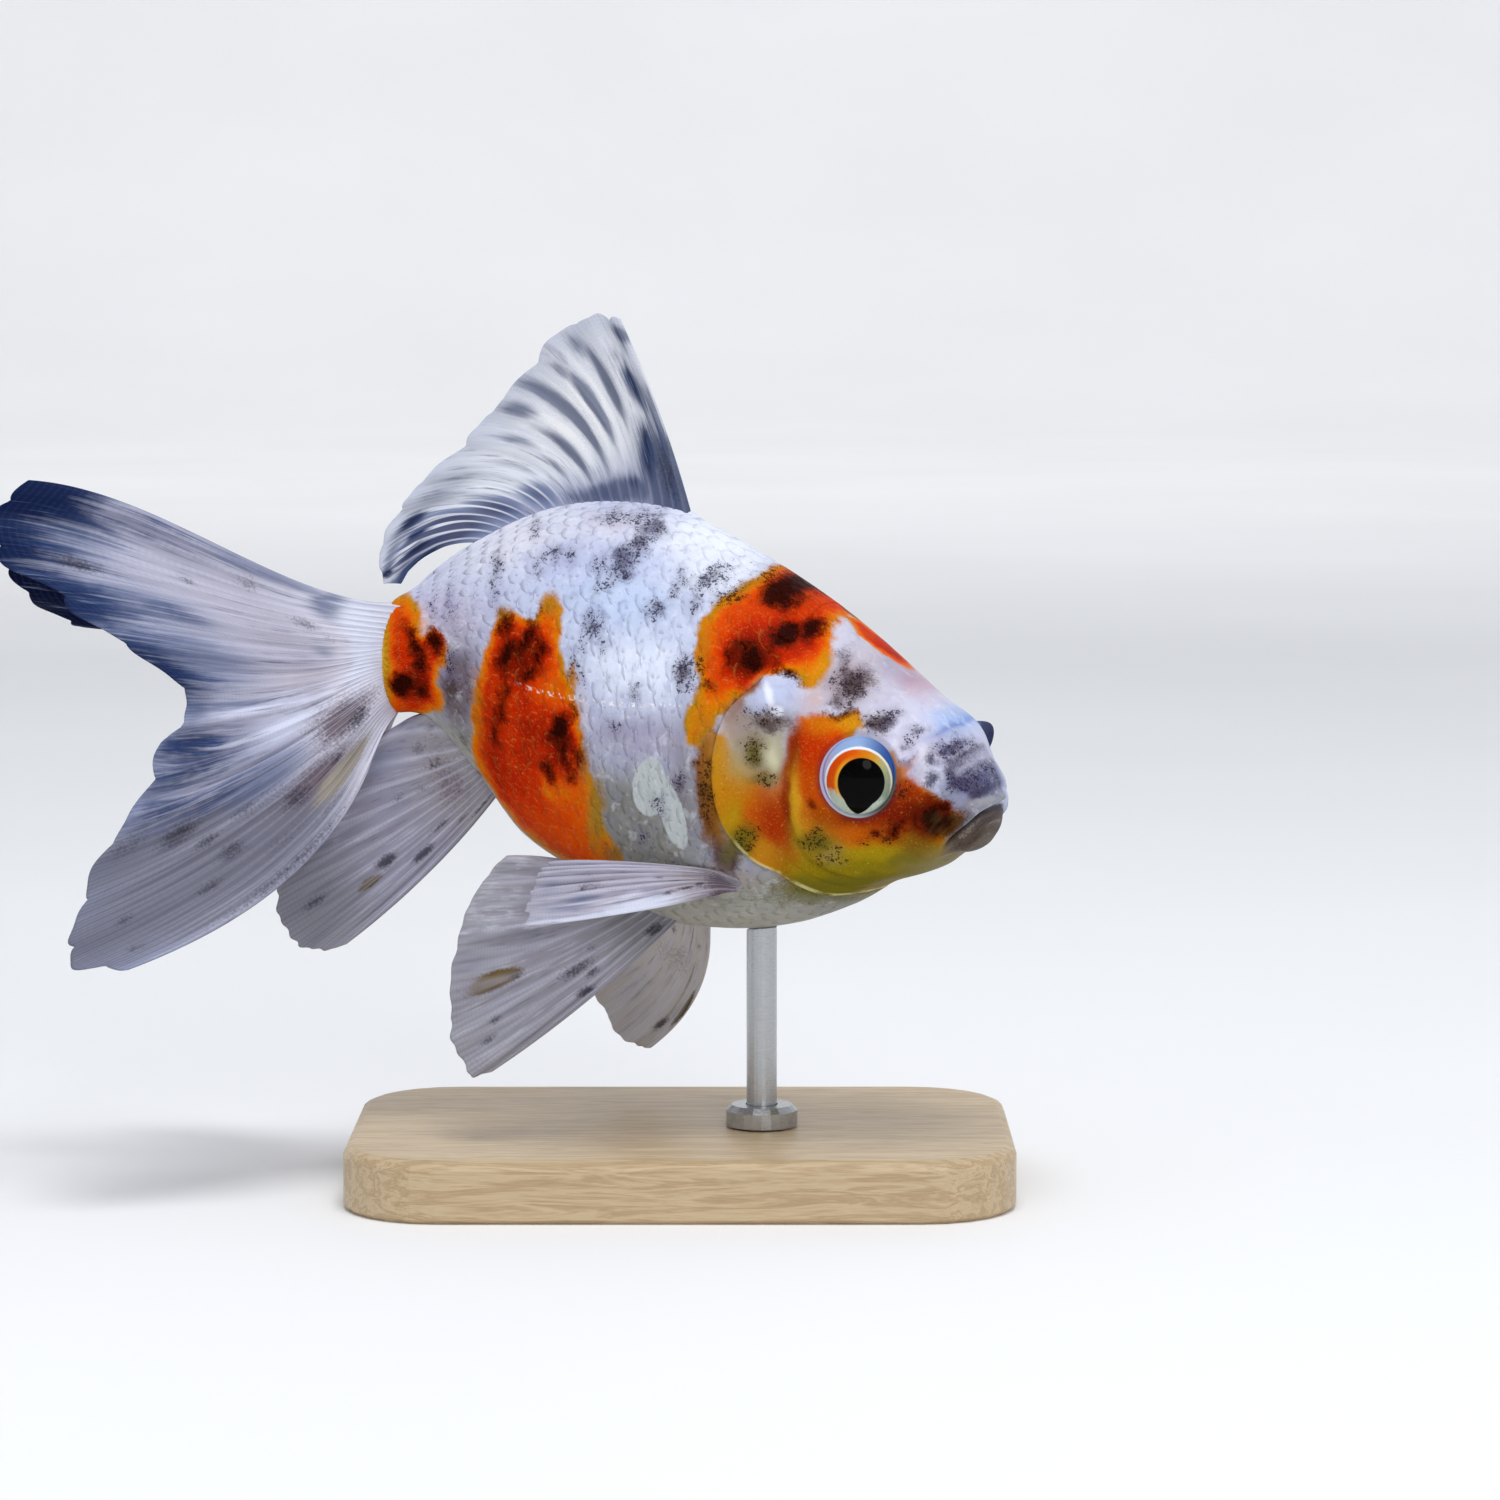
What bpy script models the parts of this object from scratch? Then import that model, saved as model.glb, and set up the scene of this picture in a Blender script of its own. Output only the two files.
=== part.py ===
"""A calico fancy goldfish as a still, life-size model on a display stand.

Units are metres with +Z up.  The head points to +X and turns toward -Y, which is
the fish's right.  The stand's base rests on Z = 0 under the middle of the body.
Sizes below are in millimetres and become metres when the meshes are made.
"""
import math

import bmesh
import bpy
from mathutils import Vector

MM = 0.001
GAP = 0.3                       # clearance between neighbouring pieces
WELD = 0.01                     # points closer than this are joined

# --- spine: how far the head turns away from the tail ---------------------
TAIL_YAW = 4.0                  # degrees at the tail stem
HEAD_YAW = 25.0                 # degrees at the head
YAW_START = -25.0               # where along X the turn begins
YAW_LENGTH = 55.0

# --- body lines: (station along X, height) and (station, half width) ------
BACK_LINE = ((-44.0, 84.4), (-38.0, 87.2), (-30.6, 92.4), (-19.7, 97.6), (-8.8, 99.1),
             (1.4, 97.6), (11.4, 92.4), (22.1, 85.0), (31.3, 77.0), (39.7, 69.4), (46.3, 63.2))
BELLY_LINE = ((-44.0, 68.2), (-37.0, 68.0), (-29.3, 59.5), (-22.8, 51.0), (-11.8, 44.1),
              (-3.1, 39.2), (7.8, 38.0), (17.2, 39.2), (24.5, 42.0), (31.4, 45.5), (40.0, 49.6), (46.3, 53.4))
WIDEST_LINE = ((-44.0, 76.4), (-30.0, 77.0), (-15.0, 69.5), (0.0, 65.0), (15.0, 61.5),
               (30.0, 60.0), (46.3, 58.4))
HALF_WIDTH = ((-44.0, 4.2), (-37.0, 5.6), (-29.0, 9.2), (-20.0, 13.8), (-10.0, 17.4),
              (0.0, 19.2), (9.0, 19.6), (18.0, 18.7), (26.0, 17.0), (33.0, 14.6), (39.5, 11.4), (46.3, 7.6))
BACK_RIDGE = ((-44.0, 1.0), (-20.0, 1.2), (0.0, 1.2), (16.0, 1.02), (30.0, 0.86), (46.3, 0.9))
BELLY_FULL = 0.9                # below 1 fills the lower flanks out

BODY_REAR = -44.0
REAR_BULGE = 0.8                # the tail stem's end is this much fuller in the middle
SNOUT_TIP = 46.0
SNOUT_CAP = 5.8                 # length over which the snout rounds off
SNOUT_HEIGHT = 58.3
SNOUT_BLUNT = 0.04              # the last ring stops this far short of the tip
STEM_CUT = -31.0                # tail stem meets trunk

# --- head ------------------------------------------------------------------
GILL_EDGE = ((0.0, 21.5), (35.0, 21.0), (58.0, 17.6), (72.0, 13.1), (84.0, 11.3), (95.0, 11.3),
             (104.6, 12.3), (112.0, 14.0), (119.6, 16.6), (126.5, 20.0), (134.0, 21.8),
             (144.0, 24.2), (156.0, 27.2), (180.0, 29.0))
NECK_HUB = 9.0                  # middle of the cut between head and trunk
COVER_FRONT = 23.2              # front edge of the gill cover plate
COVER_TOP_ANGLE = 62.0          # degrees round the body from the back
COVER_LOW_ANGLE = 126.0
COVER_BOW = 1.6                 # how far the plate's front edge curves back at its ends
COVER_THICK = 1.2
COVER_PROUD = 0.35
SEAT_HEIGHT = 3.0               # the seat's cutter stands this far outside the cheek
DEGREES_PER_MM = 2.6            # round the cheek
EYE_STATION = 30.9
EYE_HEIGHT = 62.4
EYE_RADIUS = 6.1
EYE_DEPTH = 5.2                 # half the eye's thickness, in to out
EYE_OUT = 12.4                  # ball centre from the mid plane
EYE_SEAT = 0.25
MOUTH_CORNER = (38.6, 50.8)     # station and height of the mouth corner
MOUTH_GAPE = 0.5                # half the opening in front of the lips
MOUTH_HALF = 14.0               # half the cutter's width
MOUTH_PAST = 4.0                # how far the cutter runs past the lips
MOUTH_START = 0.35              # share of the way to the lips where the cutter begins
MOUTH_THIN = 0.02               # half its opening there
NOSTRIL_STATION = 39.0
NOSTRIL_ANGLE = 56.0            # degrees round the head from the top
FLAP_SIZE = (1.7, 1.3, 2.2)
FLAP_LIFT = 0.4                 # the flap's middle over the head's surface

# --- stand -----------------------------------------------------------------
BASE_LENGTH = 96.0
BASE_WIDTH = 62.0
BASE_HEIGHT = 9.0
BASE_CORNER = 14.0
BASE_EDGE = 1.4
BASE_EDGE_MIDDLE = 0.3          # where the rounded edge's middle lies, as a share of BASE_EDGE
ROD_RADIUS = 2.2
ROD_STATION = 11.7
ROD_FOOT = 4.0                  # foot of the rod inside the base
ROD_PAST = 4.0                  # how far the rod runs into the belly before it is trimmed
HOLE_PAST = 2.0                 # how far the hole's cutter runs past the base
COLLAR_RADIUS = 5.2
COLLAR_HEIGHT = 3.0
COLLAR_BEVEL = 0.8

FIN_EDGE = 0.6                  # thickness at the free edge
FIN_ROOT = 1.5                  # thickness at the root
FIN_TAPER = 2.2                 # rays thin out over 1 / FIN_TAPER of their length
PLEAT_RISE = 3.0                # pleats grow over 1 / PLEAT_RISE of a ray's length


def smooth_at(table, x):
    """Height of a smooth line through a short table of (position, value)."""
    n = len(table)
    i = 0
    while i < n - 2 and x > table[i + 1][0]:
        i += 1
    x0, v0 = table[i]
    x1, v1 = table[i + 1]
    slope = (v1 - v0) / (x1 - x0)
    before = slope
    after = slope
    if i > 0:
        before = (v1 - table[i - 1][1]) / (x1 - table[i - 1][0])
    if i < n - 2:
        after = (table[i + 2][1] - v0) / (table[i + 2][0] - x0)
    h = x1 - x0
    t = (x - x0) / h
    a = 2 * t ** 3 - 3 * t ** 2 + 1
    b = t ** 3 - 2 * t ** 2 + t
    c = 3 * t ** 2 - 2 * t ** 3
    d = t ** 3 - t ** 2
    return a * v0 + b * h * before + c * v1 + d * h * after


def yaw_at(x):
    """Turn of the spine at a station, in radians."""
    t = min(max((x - YAW_START) / YAW_LENGTH, 0.0), 1.0)
    t = t * t * (3 - 2 * t)
    return math.radians(TAIL_YAW + (HEAD_YAW - TAIL_YAW) * t)


def spine_y(x):
    """Sideways place of the spine at a station."""
    steps = 48
    h = x / steps
    return -sum(math.tan(yaw_at((i + 0.5) * h)) * h for i in range(steps))


def from_spine(x, out, z):
    """World point beside the spine; out is positive to the fish's right."""
    a = yaw_at(x)
    return Vector((x - out * math.sin(a), spine_y(x) - out * math.cos(a), z))


def snout_close(x):
    """Share of the full section left near the snout: 1 behind, 0 at the tip."""
    t = (x - (SNOUT_TIP - SNOUT_CAP)) / SNOUT_CAP
    if t <= 0:
        return 1.0
    return max(1 - t ** 2.4, 0.0) ** 0.5


def skin_point(x, angle, grow=0.0):
    """Point of the body's surface; angle runs from the back over the right side."""
    f = snout_close(x)
    wide = smooth_at(WIDEST_LINE, x)
    mid = SNOUT_HEIGHT + (wide - SNOUT_HEIGHT) * f
    s = math.sin(angle)
    c = math.cos(angle)
    if c >= 0:
        rise = (smooth_at(BACK_LINE, x) - wide) * f + grow
        power = smooth_at(BACK_RIDGE, x)
    else:
        rise = (wide - smooth_at(BELLY_LINE, x)) * f + grow
        power = BELLY_FULL
    out = (smooth_at(HALF_WIDTH, x) * f + grow) * math.copysign(abs(s) ** power, s)
    return from_spine(x, out, mid + rise * c)


def gill_edge(angle):
    """Station where the head ends and the trunk begins, round the body."""
    turn = math.degrees(math.acos(max(-1.0, min(1.0, math.cos(angle)))))
    return smooth_at(GILL_EDGE, turn)


# --- mesh helpers ------------------------------------------------------------
def new_object(name, verts, faces, smooth_angle=40.0):
    """Mesh object from millimetre points, outside facing out."""
    mesh = bpy.data.meshes.new(name)
    mesh.from_pydata([tuple(Vector(v) * MM) for v in verts], [], faces)
    bm = bmesh.new()
    bm.from_mesh(mesh)
    bmesh.ops.remove_doubles(bm, verts=bm.verts, dist=WELD * MM)
    bmesh.ops.recalc_face_normals(bm, faces=bm.faces)
    bm.to_mesh(mesh)
    bm.free()
    obj = bpy.data.objects.new(name, mesh)
    bpy.context.scene.collection.objects.link(obj)
    mesh.shade_smooth()
    mesh.set_sharp_from_angle(angle=math.radians(smooth_angle))
    return obj


def combine(obj, other, operation):
    """Add or subtract a helper body, which stays out of the part."""
    mod = obj.modifiers.new(operation.lower(), "BOOLEAN")
    mod.operation = operation
    mod.solver = "EXACT"
    mod.object = other
    other.hide_render = True
    other.display_type = "WIRE"


def ring_body(name, rings, start, end):
    """Closed body from rings of equal length, each end a fan to its centre."""
    verts = []
    faces = []
    for ring in rings:
        verts.extend(ring)
    cols = len(rings[0])
    for r in range(len(rings) - 1):
        for c in range(cols):
            d = (c + 1) % cols
            a = r * cols
            faces.append((a + c, a + d, a + cols + d, a + cols + c))
    for row, centre in ((0, start), (len(rings) - 1, end)):
        tip = len(verts)
        verts.append(centre)
        for c in range(cols):
            d = (c + 1) % cols
            faces.append((row * cols + c, row * cols + d, tip))
    return new_object(name, verts, faces)


def body_piece(name, rear, front, rows, cols=36, grow=0.0, rear_hub=0.0, front_hub=0.0):
    """Length of the body between two edge functions of the angle."""
    angles = [2 * math.pi * c / cols for c in range(cols)]
    rings = []
    for r in range(rows + 1):
        t = r / rows
        rings.append([skin_point(rear(a) + (front(a) - rear(a)) * t, a, grow) for a in angles])
    hubs = []
    for hub in (rear_hub, front_hub):
        hubs.append(from_spine(hub, 0.0, smooth_at(WIDEST_LINE, min(hub, SNOUT_TIP))))
    return ring_body(name, rings, hubs[0], hubs[1])


def ball(name, centre, radii, turn=0.0, rings=10, cols=18):
    """Ellipsoid about a centre, turned about Z, with its axis across the body."""
    rows = []
    for r in range(1, rings):
        lat = math.pi * r / rings
        row = []
        for c in range(cols):
            lon = 2 * math.pi * c / cols
            p = Vector((radii[0] * math.sin(lat) * math.cos(lon), -radii[1] * math.cos(lat),
                        radii[2] * math.sin(lat) * math.sin(lon)))
            row.append(centre + turned(p, turn))
        rows.append(row)
    near = centre + turned(Vector((0.0, -radii[1], 0.0)), turn)
    far = centre + turned(Vector((0.0, radii[1], 0.0)), turn)
    return ring_body(name, rows, near, far)


def turned(p, a):
    """Point turned about Z by -a, the way the spine turns."""
    return Vector((p.x * math.cos(a) + p.y * math.sin(a), -p.x * math.sin(a) + p.y * math.cos(a), p.z))


# --- body ------------------------------------------------------------------
def build_body():
    """Tail stem, trunk and head, divided at the stem and along the gill edge."""
    half = GAP / 2
    stem = body_piece("tail_stem", lambda a: BODY_REAR, lambda a: STEM_CUT - half, 4,
                      rear_hub=BODY_REAR - REAR_BULGE, front_hub=STEM_CUT - half)
    trunk = body_piece("trunk", lambda a: STEM_CUT + half, lambda a: gill_edge(a) - half, 11,
                       rear_hub=STEM_CUT + half, front_hub=NECK_HUB - half)
    head = body_piece("head", lambda a: gill_edge(a) + half, snout_edge, 11,
                      rear_hub=NECK_HUB + half, front_hub=SNOUT_TIP)
    return stem, trunk, head


def snout_edge(angle):
    return SNOUT_TIP - SNOUT_BLUNT


def gill_cover(name, side, margin, inner, outer):
    """Plate lying on the cheek from its front edge back to the gill edge."""
    rows = 6
    cols = 10
    low = math.radians(COVER_TOP_ANGLE - margin * DEGREES_PER_MM)
    high = math.radians(COVER_LOW_ANGLE + margin * DEGREES_PER_MM)
    layers = []
    for grow in (outer, -inner):
        grid = []
        for r in range(rows + 1):
            row = []
            for c in range(cols + 1):
                u = c / cols
                a = low + (high - low) * u
                back = gill_edge(a) + GAP / 2 - margin
                front = COVER_FRONT + margin - COVER_BOW * (2 * u - 1) ** 2
                row.append(skin_point(back + (front - back) * r / rows, a * side, grow))
            grid.append(row)
        layers.append(grid)
    return slab(name, layers)


def slab(name, layers):
    """Closed body between two grids of the same size."""
    rows = len(layers[0])
    cols = len(layers[0][0])
    verts = [p for grid in layers for row in grid for p in row]
    size = rows * cols
    faces = []
    for r in range(rows - 1):
        for c in range(cols - 1):
            a = r * cols + c
            faces.append((a, a + 1, a + cols + 1, a + cols))
            b = a + size
            faces.append((b, b + cols, b + cols + 1, b + 1))
    rim = [c for c in range(cols)]
    rim += [r * cols + cols - 1 for r in range(1, rows)]
    rim += [(rows - 1) * cols + c for c in range(cols - 2, -1, -1)]
    rim += [r * cols for r in range(rows - 2, 0, -1)]
    for i, a in enumerate(rim):
        b = rim[(i + 1) % len(rim)]
        faces.append((a, a + size, b + size, b))
    return new_object(name, verts, faces)


def build_head_parts(head):
    """Gill covers, eyes, nostril flaps and the mouth."""
    for tag, side in (("R", 1), ("L", -1)):
        gill_cover("gill_cover_" + tag, side, 0.0, COVER_THICK, COVER_PROUD)
        seat = gill_cover("seat_cover_" + tag, side, GAP, COVER_THICK + GAP, SEAT_HEIGHT)
        combine(head, seat, "DIFFERENCE")
        centre = from_spine(EYE_STATION, EYE_OUT * side, EYE_HEIGHT)
        turn = yaw_at(EYE_STATION)
        ball("eye_" + tag, centre, (EYE_RADIUS, EYE_DEPTH, EYE_RADIUS), turn, 9, 16)
        reach = EYE_RADIUS + EYE_SEAT
        socket = ball("seat_eye_" + tag, centre, (reach, EYE_DEPTH + EYE_SEAT, reach), turn, 9, 14)
        combine(head, socket, "DIFFERENCE")
        spot = skin_point(NOSTRIL_STATION, math.radians(NOSTRIL_ANGLE) * side, FLAP_LIFT)
        flap = ball("seat_flap_" + tag, spot, FLAP_SIZE, turn, 6, 10)
        combine(head, flap, "UNION")
    combine(head, mouth_cutter(), "DIFFERENCE")


def mouth_cutter():
    """Thin wedge that opens the lips, deepest at the snout."""
    x0, z0 = MOUTH_CORNER
    drop = math.atan2(SNOUT_HEIGHT - z0, SNOUT_TIP - x0)
    reach = math.hypot(SNOUT_TIP - x0, SNOUT_HEIGHT - z0)
    verts = []
    for out in (-MOUTH_HALF, MOUTH_HALF):
        for along, half in ((reach * MOUTH_START, MOUTH_THIN), (reach + MOUTH_PAST, MOUTH_GAPE)):
            for sign in (-1, 1):
                x = x0 + along * math.cos(drop) - sign * half * math.sin(drop)
                z = z0 + along * math.sin(drop) + sign * half * math.cos(drop)
                p = from_spine(SNOUT_TIP, out, z)
                verts.append(p + turned(Vector((x - SNOUT_TIP, 0.0, 0.0)), yaw_at(SNOUT_TIP)))
    faces = [(0, 1, 3, 2), (4, 6, 7, 5), (0, 4, 5, 1), (1, 5, 7, 3), (3, 7, 6, 2), (2, 6, 4, 0)]
    return new_object("seat_mouth", verts, faces)


# --- fins --------------------------------------------------------------------
def curve_at(points, u):
    """Point on a smooth curve through evenly numbered points, u from 0 to 1."""
    last = len(points) - 1
    out = []
    for axis in range(3):
        table = [(i / last, p[axis]) for i, p in enumerate(points)]
        out.append(smooth_at(table, u))
    return Vector(out)


def fin_ray_point(fin, u, v):
    """Point on the fin's middle sheet: u across the rays, v out along a ray."""
    root = curve_at(fin["root"], u)
    tip = curve_at(fin["tips"], u)
    bow = Vector([smooth_at([(r[0], r[1 + k]) for r in fin["bow"]], u) for k in range(3)])
    mid = (root + tip) / 2 + bow
    ctrl = mid * 2 - (root + tip) / 2
    lift = fin.get("curl", 0.0) * max(1 - 3 * u, 0.0) * v * (1 - v) * (2 * v - 1)
    return root * (1 - v) ** 2 + ctrl * 2 * v * (1 - v) + tip * v ** 2 + Vector((0.0, 0.0, lift))


def fin_pleat(fin, u, v):
    """Sideways wave of the sheet, one crest to a fold."""
    return fin["pleat"] * math.cos(2 * math.pi * fin["folds"] * u) * min(v * PLEAT_RISE, 1.0)


def build_fin(name, fin, cutter):
    """Fan of rays with a rounded root, trimmed to clear the body."""
    cols = fin["folds"] * 2
    rows = fin["rows"]
    face = [[], []]
    for r in range(rows + 1):
        v = r / rows
        thick = FIN_ROOT + (FIN_EDGE - FIN_ROOT) * min(v * FIN_TAPER, 1.0)
        lines = [[], []]
        for c in range(cols + 1):
            u = c / cols
            p = fin_ray_point(fin, u, v)
            e = 0.004
            across = fin_ray_point(fin, min(u + e, 1), v) - fin_ray_point(fin, max(u - e, 0), v)
            along = fin_ray_point(fin, u, min(v + e, 1)) - fin_ray_point(fin, u, max(v - e, 0))
            n = across.cross(along).normalized()
            p = p + n * fin_pleat(fin, u, v)
            lines[0].append(p + n * thick / 2)
            lines[1].append(p - n * thick / 2)
        face[0].append(lines[0])
        face[1].append(lines[1])
    obj = slab(name, face)
    combine(obj, cutter, "DIFFERENCE")
    return obj


# Fin tables: places are (station, out to the right, height), from the first ray to
# the last; bow rows are (share across the fin, then the sag of a ray in the same axes);
# curl lifts the outer half of the first rays and lowers the inner half.
DORSAL = {
    "root": ((2.0, 0.0, 96.2), (-10.2, 0.0, 97.6), (-23.3, 0.0, 94.4), (-37.0, 0.0, 86.4)),
    "tips": ((-8.6, 0.0, 125.7), (-13.2, -1.0, 126.3), (-19.9, -2.0, 121.6),
             (-26.8, -2.5, 113.2), (-32.2, -2.0, 107.4), (-38.2, -1.5, 101.6),
             (-41.9, -1.0, 96.8), (-43.9, -0.5, 91.2), (-43.2, 0.0, 87.4)),
    "bow": ((0.0, 0.7, 0.0, 0.2), (0.4, 2.6, -0.4, 2.2), (0.8, 0.6, -0.2, 1.6), (1.0, 0.0, 0.0, 0.4)),
    "folds": 9, "rows": 5, "pleat": 0.18,
}
TAIL = {
    "root": ((-42.6, 0.75, 84.6), (-44.2, 1.6, 79.4), (-44.8, 2.2, 73.6), (-43.2, 1.8, 67.2)),
    "tips": ((-93.6, 12.0, 102.9), (-98.0, 14.0, 97.6), (-96.2, 16.0, 92.1), (-87.4, 17.0, 86.3),
             (-78.8, 17.0, 80.4), (-72.1, 15.0, 74.8), (-69.5, 14.0, 69.6), (-73.0, 17.0, 65.0),
             (-75.7, 20.0, 57.8), (-80.0, 24.0, 50.4), (-82.7, 27.0, 43.9), (-84.4, 29.0, 38.2),
             (-81.7, 30.0, 35.2), (-76.4, 30.0, 34.7)),
    "bow": ((0.0, 0.4, -2.2, 0.0), (0.5, 0.5, -1.2, 0.0), (0.75, 2.0, 0.4, -0.6), (1.0, 7.0, 1.6, -2.8)),
    "curl": 16.0, "folds": 11, "rows": 6, "pleat": 0.22,
}
TAIL_LEFT_TIPS = ((-94.0, 11.0, 98.4), (-98.8, 13.0, 93.6), (-100.8, 15.0, 88.0), (-97.8, 16.0, 83.0),
                  (-92.5, 16.0, 80.0), (-81.0, 15.0, 77.0), (-71.0, 14.0, 69.0), (-73.0, 17.0, 64.0),
                  (-75.7, 20.0, 56.5), (-79.5, 24.0, 49.0), (-82.0, 27.0, 42.5), (-83.0, 29.0, 36.8),
                  (-80.5, 30.0, 34.0), (-75.5, 30.0, 33.7))
ANAL = {
    "root": ((-26.2, 1.4, 57.4), (-30.5, 1.5, 62.2), (-34.0, 1.4, 68.2)),
    "tips": ((-48.5, 8.0, 35.2), (-52.0, 8.5, 34.9), (-55.4, 8.5, 35.9), (-57.4, 8.0, 39.5),
             (-58.3, 7.0, 43.8), (-56.7, 5.2, 49.8), (-52.5, 3.4, 56.5), (-45.5, 2.2, 62.5)),
    "bow": ((0.0, 0.8, -0.8, -0.8), (0.5, 0.0, -0.6, 1.0), (1.0, 0.0, 0.2, 2.4)),
    "folds": 6, "rows": 5, "pleat": 0.2,
}
PECTORAL = {
    "root": ((11.4, 14.5, 45.0), (10.9, 15.8, 48.4)),
    "tips": ((-19.3, 28.0, 41.7), (-19.2, 25.0, 44.0), (-18.6, 22.5, 46.5), (-17.8, 20.8, 48.1),
             (-16.8, 19.4, 49.0)),
    "bow": ((0.0, 0.0, 2.2, -0.6), (0.5, 0.0, 1.6, 0.0), (1.0, 0.0, 1.0, 0.8)),
    "folds": 7, "rows": 5, "pleat": 0.32,
}
PELVIC = {
    "root": ((1.7, 5.0, 40.4), (-4.8, 6.2, 43.0), (-12.4, 7.4, 47.4)),
    "tips": ((-26.1, 20.0, 18.8), (-28.5, 21.0, 19.2), (-30.6, 21.0, 23.2), (-31.3, 20.0, 28.1),
             (-30.9, 18.0, 35.7), (-29.3, 16.0, 41.9), (-27.1, 14.0, 46.0), (-24.1, 12.5, 49.2)),
    "bow": ((0.0, 0.6, 1.2, -0.8), (0.5, 0.0, 1.6, 0.4), (1.0, 0.0, 1.4, 0.8)),
    "folds": 6, "rows": 5, "pleat": 0.2,
}
PELVIC_LEFT = {
    "root": ((2.6, 4.4, 40.2), (-4.2, 6.0, 42.6), (-11.4, 7.2, 46.8)),
    "tips": ((-8.6, 23.0, 15.7), (-11.2, 24.0, 16.3), (-13.8, 25.0, 19.3), (-15.6, 24.0, 23.6),
             (-17.5, 22.0, 29.2), (-18.5, 19.0, 34.3), (-19.0, 16.0, 38.5), (-19.0, 14.0, 42.0)),
    "bow": ((0.0, 3.2, 1.6, -1.2), (0.5, 1.0, 1.6, 0.4), (1.0, 0.0, 1.4, 0.8)),
    "folds": 6, "rows": 5, "pleat": 0.2,
}
ANAL_LEFT_SPREAD = 0.5          # share of the right anal fin's spread


def placed(fin, side=1):
    """The fin's tables moved from spine places to world points."""
    out = dict(fin)
    for key in ("root", "tips"):
        out[key] = [from_spine(s, o * side, z) for s, o, z in fin[key]]
    rows = []
    for share, along, aside, up in fin["bow"]:
        v = turned(Vector((along, -aside * side, up)), yaw_at(fin["root"][0][0]))
        rows.append((share, v.x, v.y, v.z))
    out["bow"] = rows
    return out


def narrowed(fin, share):
    """Copy of a fin table whose tips spread less to the side."""
    out = dict(fin)
    out["tips"] = tuple((s, o * share, z) for s, o, z in fin["tips"])
    return out


def build_fins():
    """One dorsal fin and right and left tail halves, anal, pelvic and pectoral fins."""
    cutter = body_piece("seat_body", lambda a: BODY_REAR - GAP, snout_edge, 26, 36, GAP,
                        BODY_REAR - REAR_BULGE - GAP, SNOUT_TIP + GAP)
    build_fin("dorsal_fin", placed(DORSAL), cutter)
    for tag, side in (("R", 1), ("L", -1)):
        tail = TAIL if side > 0 else dict(TAIL, tips=TAIL_LEFT_TIPS)
        build_fin("tail_fin_" + tag, placed(tail, side), cutter)
        anal = ANAL if side > 0 else narrowed(ANAL, ANAL_LEFT_SPREAD)
        build_fin("anal_fin_" + tag, placed(anal, side), cutter)
        build_fin("pectoral_fin_" + tag, placed(PECTORAL, side), cutter)
        pelvic = PELVIC if side > 0 else PELVIC_LEFT
        build_fin("pelvic_fin_" + tag, placed(pelvic, side), cutter)
    return cutter


# --- stand -------------------------------------------------------------------
def round_rect(length, width, corner, z, steps=6):
    """Ring of points round a rectangle with rounded corners."""
    ring = []
    for quarter in range(4):
        cx = (length / 2 - corner) * (1 if quarter in (0, 3) else -1)
        cy = (width / 2 - corner) * (1 if quarter in (0, 1) else -1)
        for i in range(steps + 1):
            a = math.pi / 2 * (quarter + i / steps)
            ring.append(Vector((cx + corner * math.cos(a), cy + corner * math.sin(a), z)))
    return ring


def disc(centre, radius, z, steps=24):
    """Ring of points round a level circle."""
    return [Vector((centre.x + radius * math.cos(2 * math.pi * i / steps),
                    centre.y + radius * math.sin(2 * math.pi * i / steps), z)) for i in range(steps)]


def build_stand(cutter):
    """Flat base, collar and one rod up to the belly."""
    middle = BASE_EDGE * BASE_EDGE_MIDDLE
    rings = []
    for inset, z in ((BASE_EDGE / 2, 0.0), (0.0, BASE_EDGE / 2), (0.0, BASE_HEIGHT - BASE_EDGE),
                     (middle, BASE_HEIGHT - middle), (BASE_EDGE, BASE_HEIGHT)):
        rings.append(round_rect(BASE_LENGTH - 2 * inset, BASE_WIDTH - 2 * inset, BASE_CORNER - inset, z))
    base = ring_body("stand_base", rings, Vector((0, 0, 0)), Vector((0, 0, BASE_HEIGHT)))
    foot = from_spine(ROD_STATION, 0.0, 0.0)
    hole = rod("seat_rod", foot, ROD_RADIUS + GAP / 2, ROD_FOOT - GAP, BASE_HEIGHT + HOLE_PAST)
    combine(base, hole, "DIFFERENCE")
    low = BASE_HEIGHT + GAP
    top = low + COLLAR_HEIGHT
    inner = ROD_RADIUS + GAP / 2
    rings = []
    for radius, z in ((inner, low), (COLLAR_RADIUS, low), (COLLAR_RADIUS, top - COLLAR_BEVEL),
                      (COLLAR_RADIUS - COLLAR_BEVEL, top), (inner, top)):
        rings.append(disc(foot, radius, z))
    torus(rings, "stand_collar")
    belly = smooth_at(BELLY_LINE, ROD_STATION)
    post = rod("stand_rod", foot, ROD_RADIUS, ROD_FOOT, belly + ROD_PAST)
    combine(post, cutter, "DIFFERENCE")


def rod(name, foot, radius, low, high):
    """Upright round bar."""
    rings = [disc(foot, radius, low), disc(foot, radius, high)]
    return ring_body(name, rings, Vector((foot.x, foot.y, low)), Vector((foot.x, foot.y, high)))


def torus(rings, name):
    """Closed body of rings that meet round a hole."""
    cols = len(rings[0])
    verts = [p for ring in rings for p in ring]
    faces = []
    for r in range(len(rings)):
        for c in range(cols):
            d = (c + 1) % cols
            a = r * cols
            b = (r + 1) % len(rings) * cols
            faces.append((a + c, a + d, b + d, b + c))
    return new_object(name, verts, faces)


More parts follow.
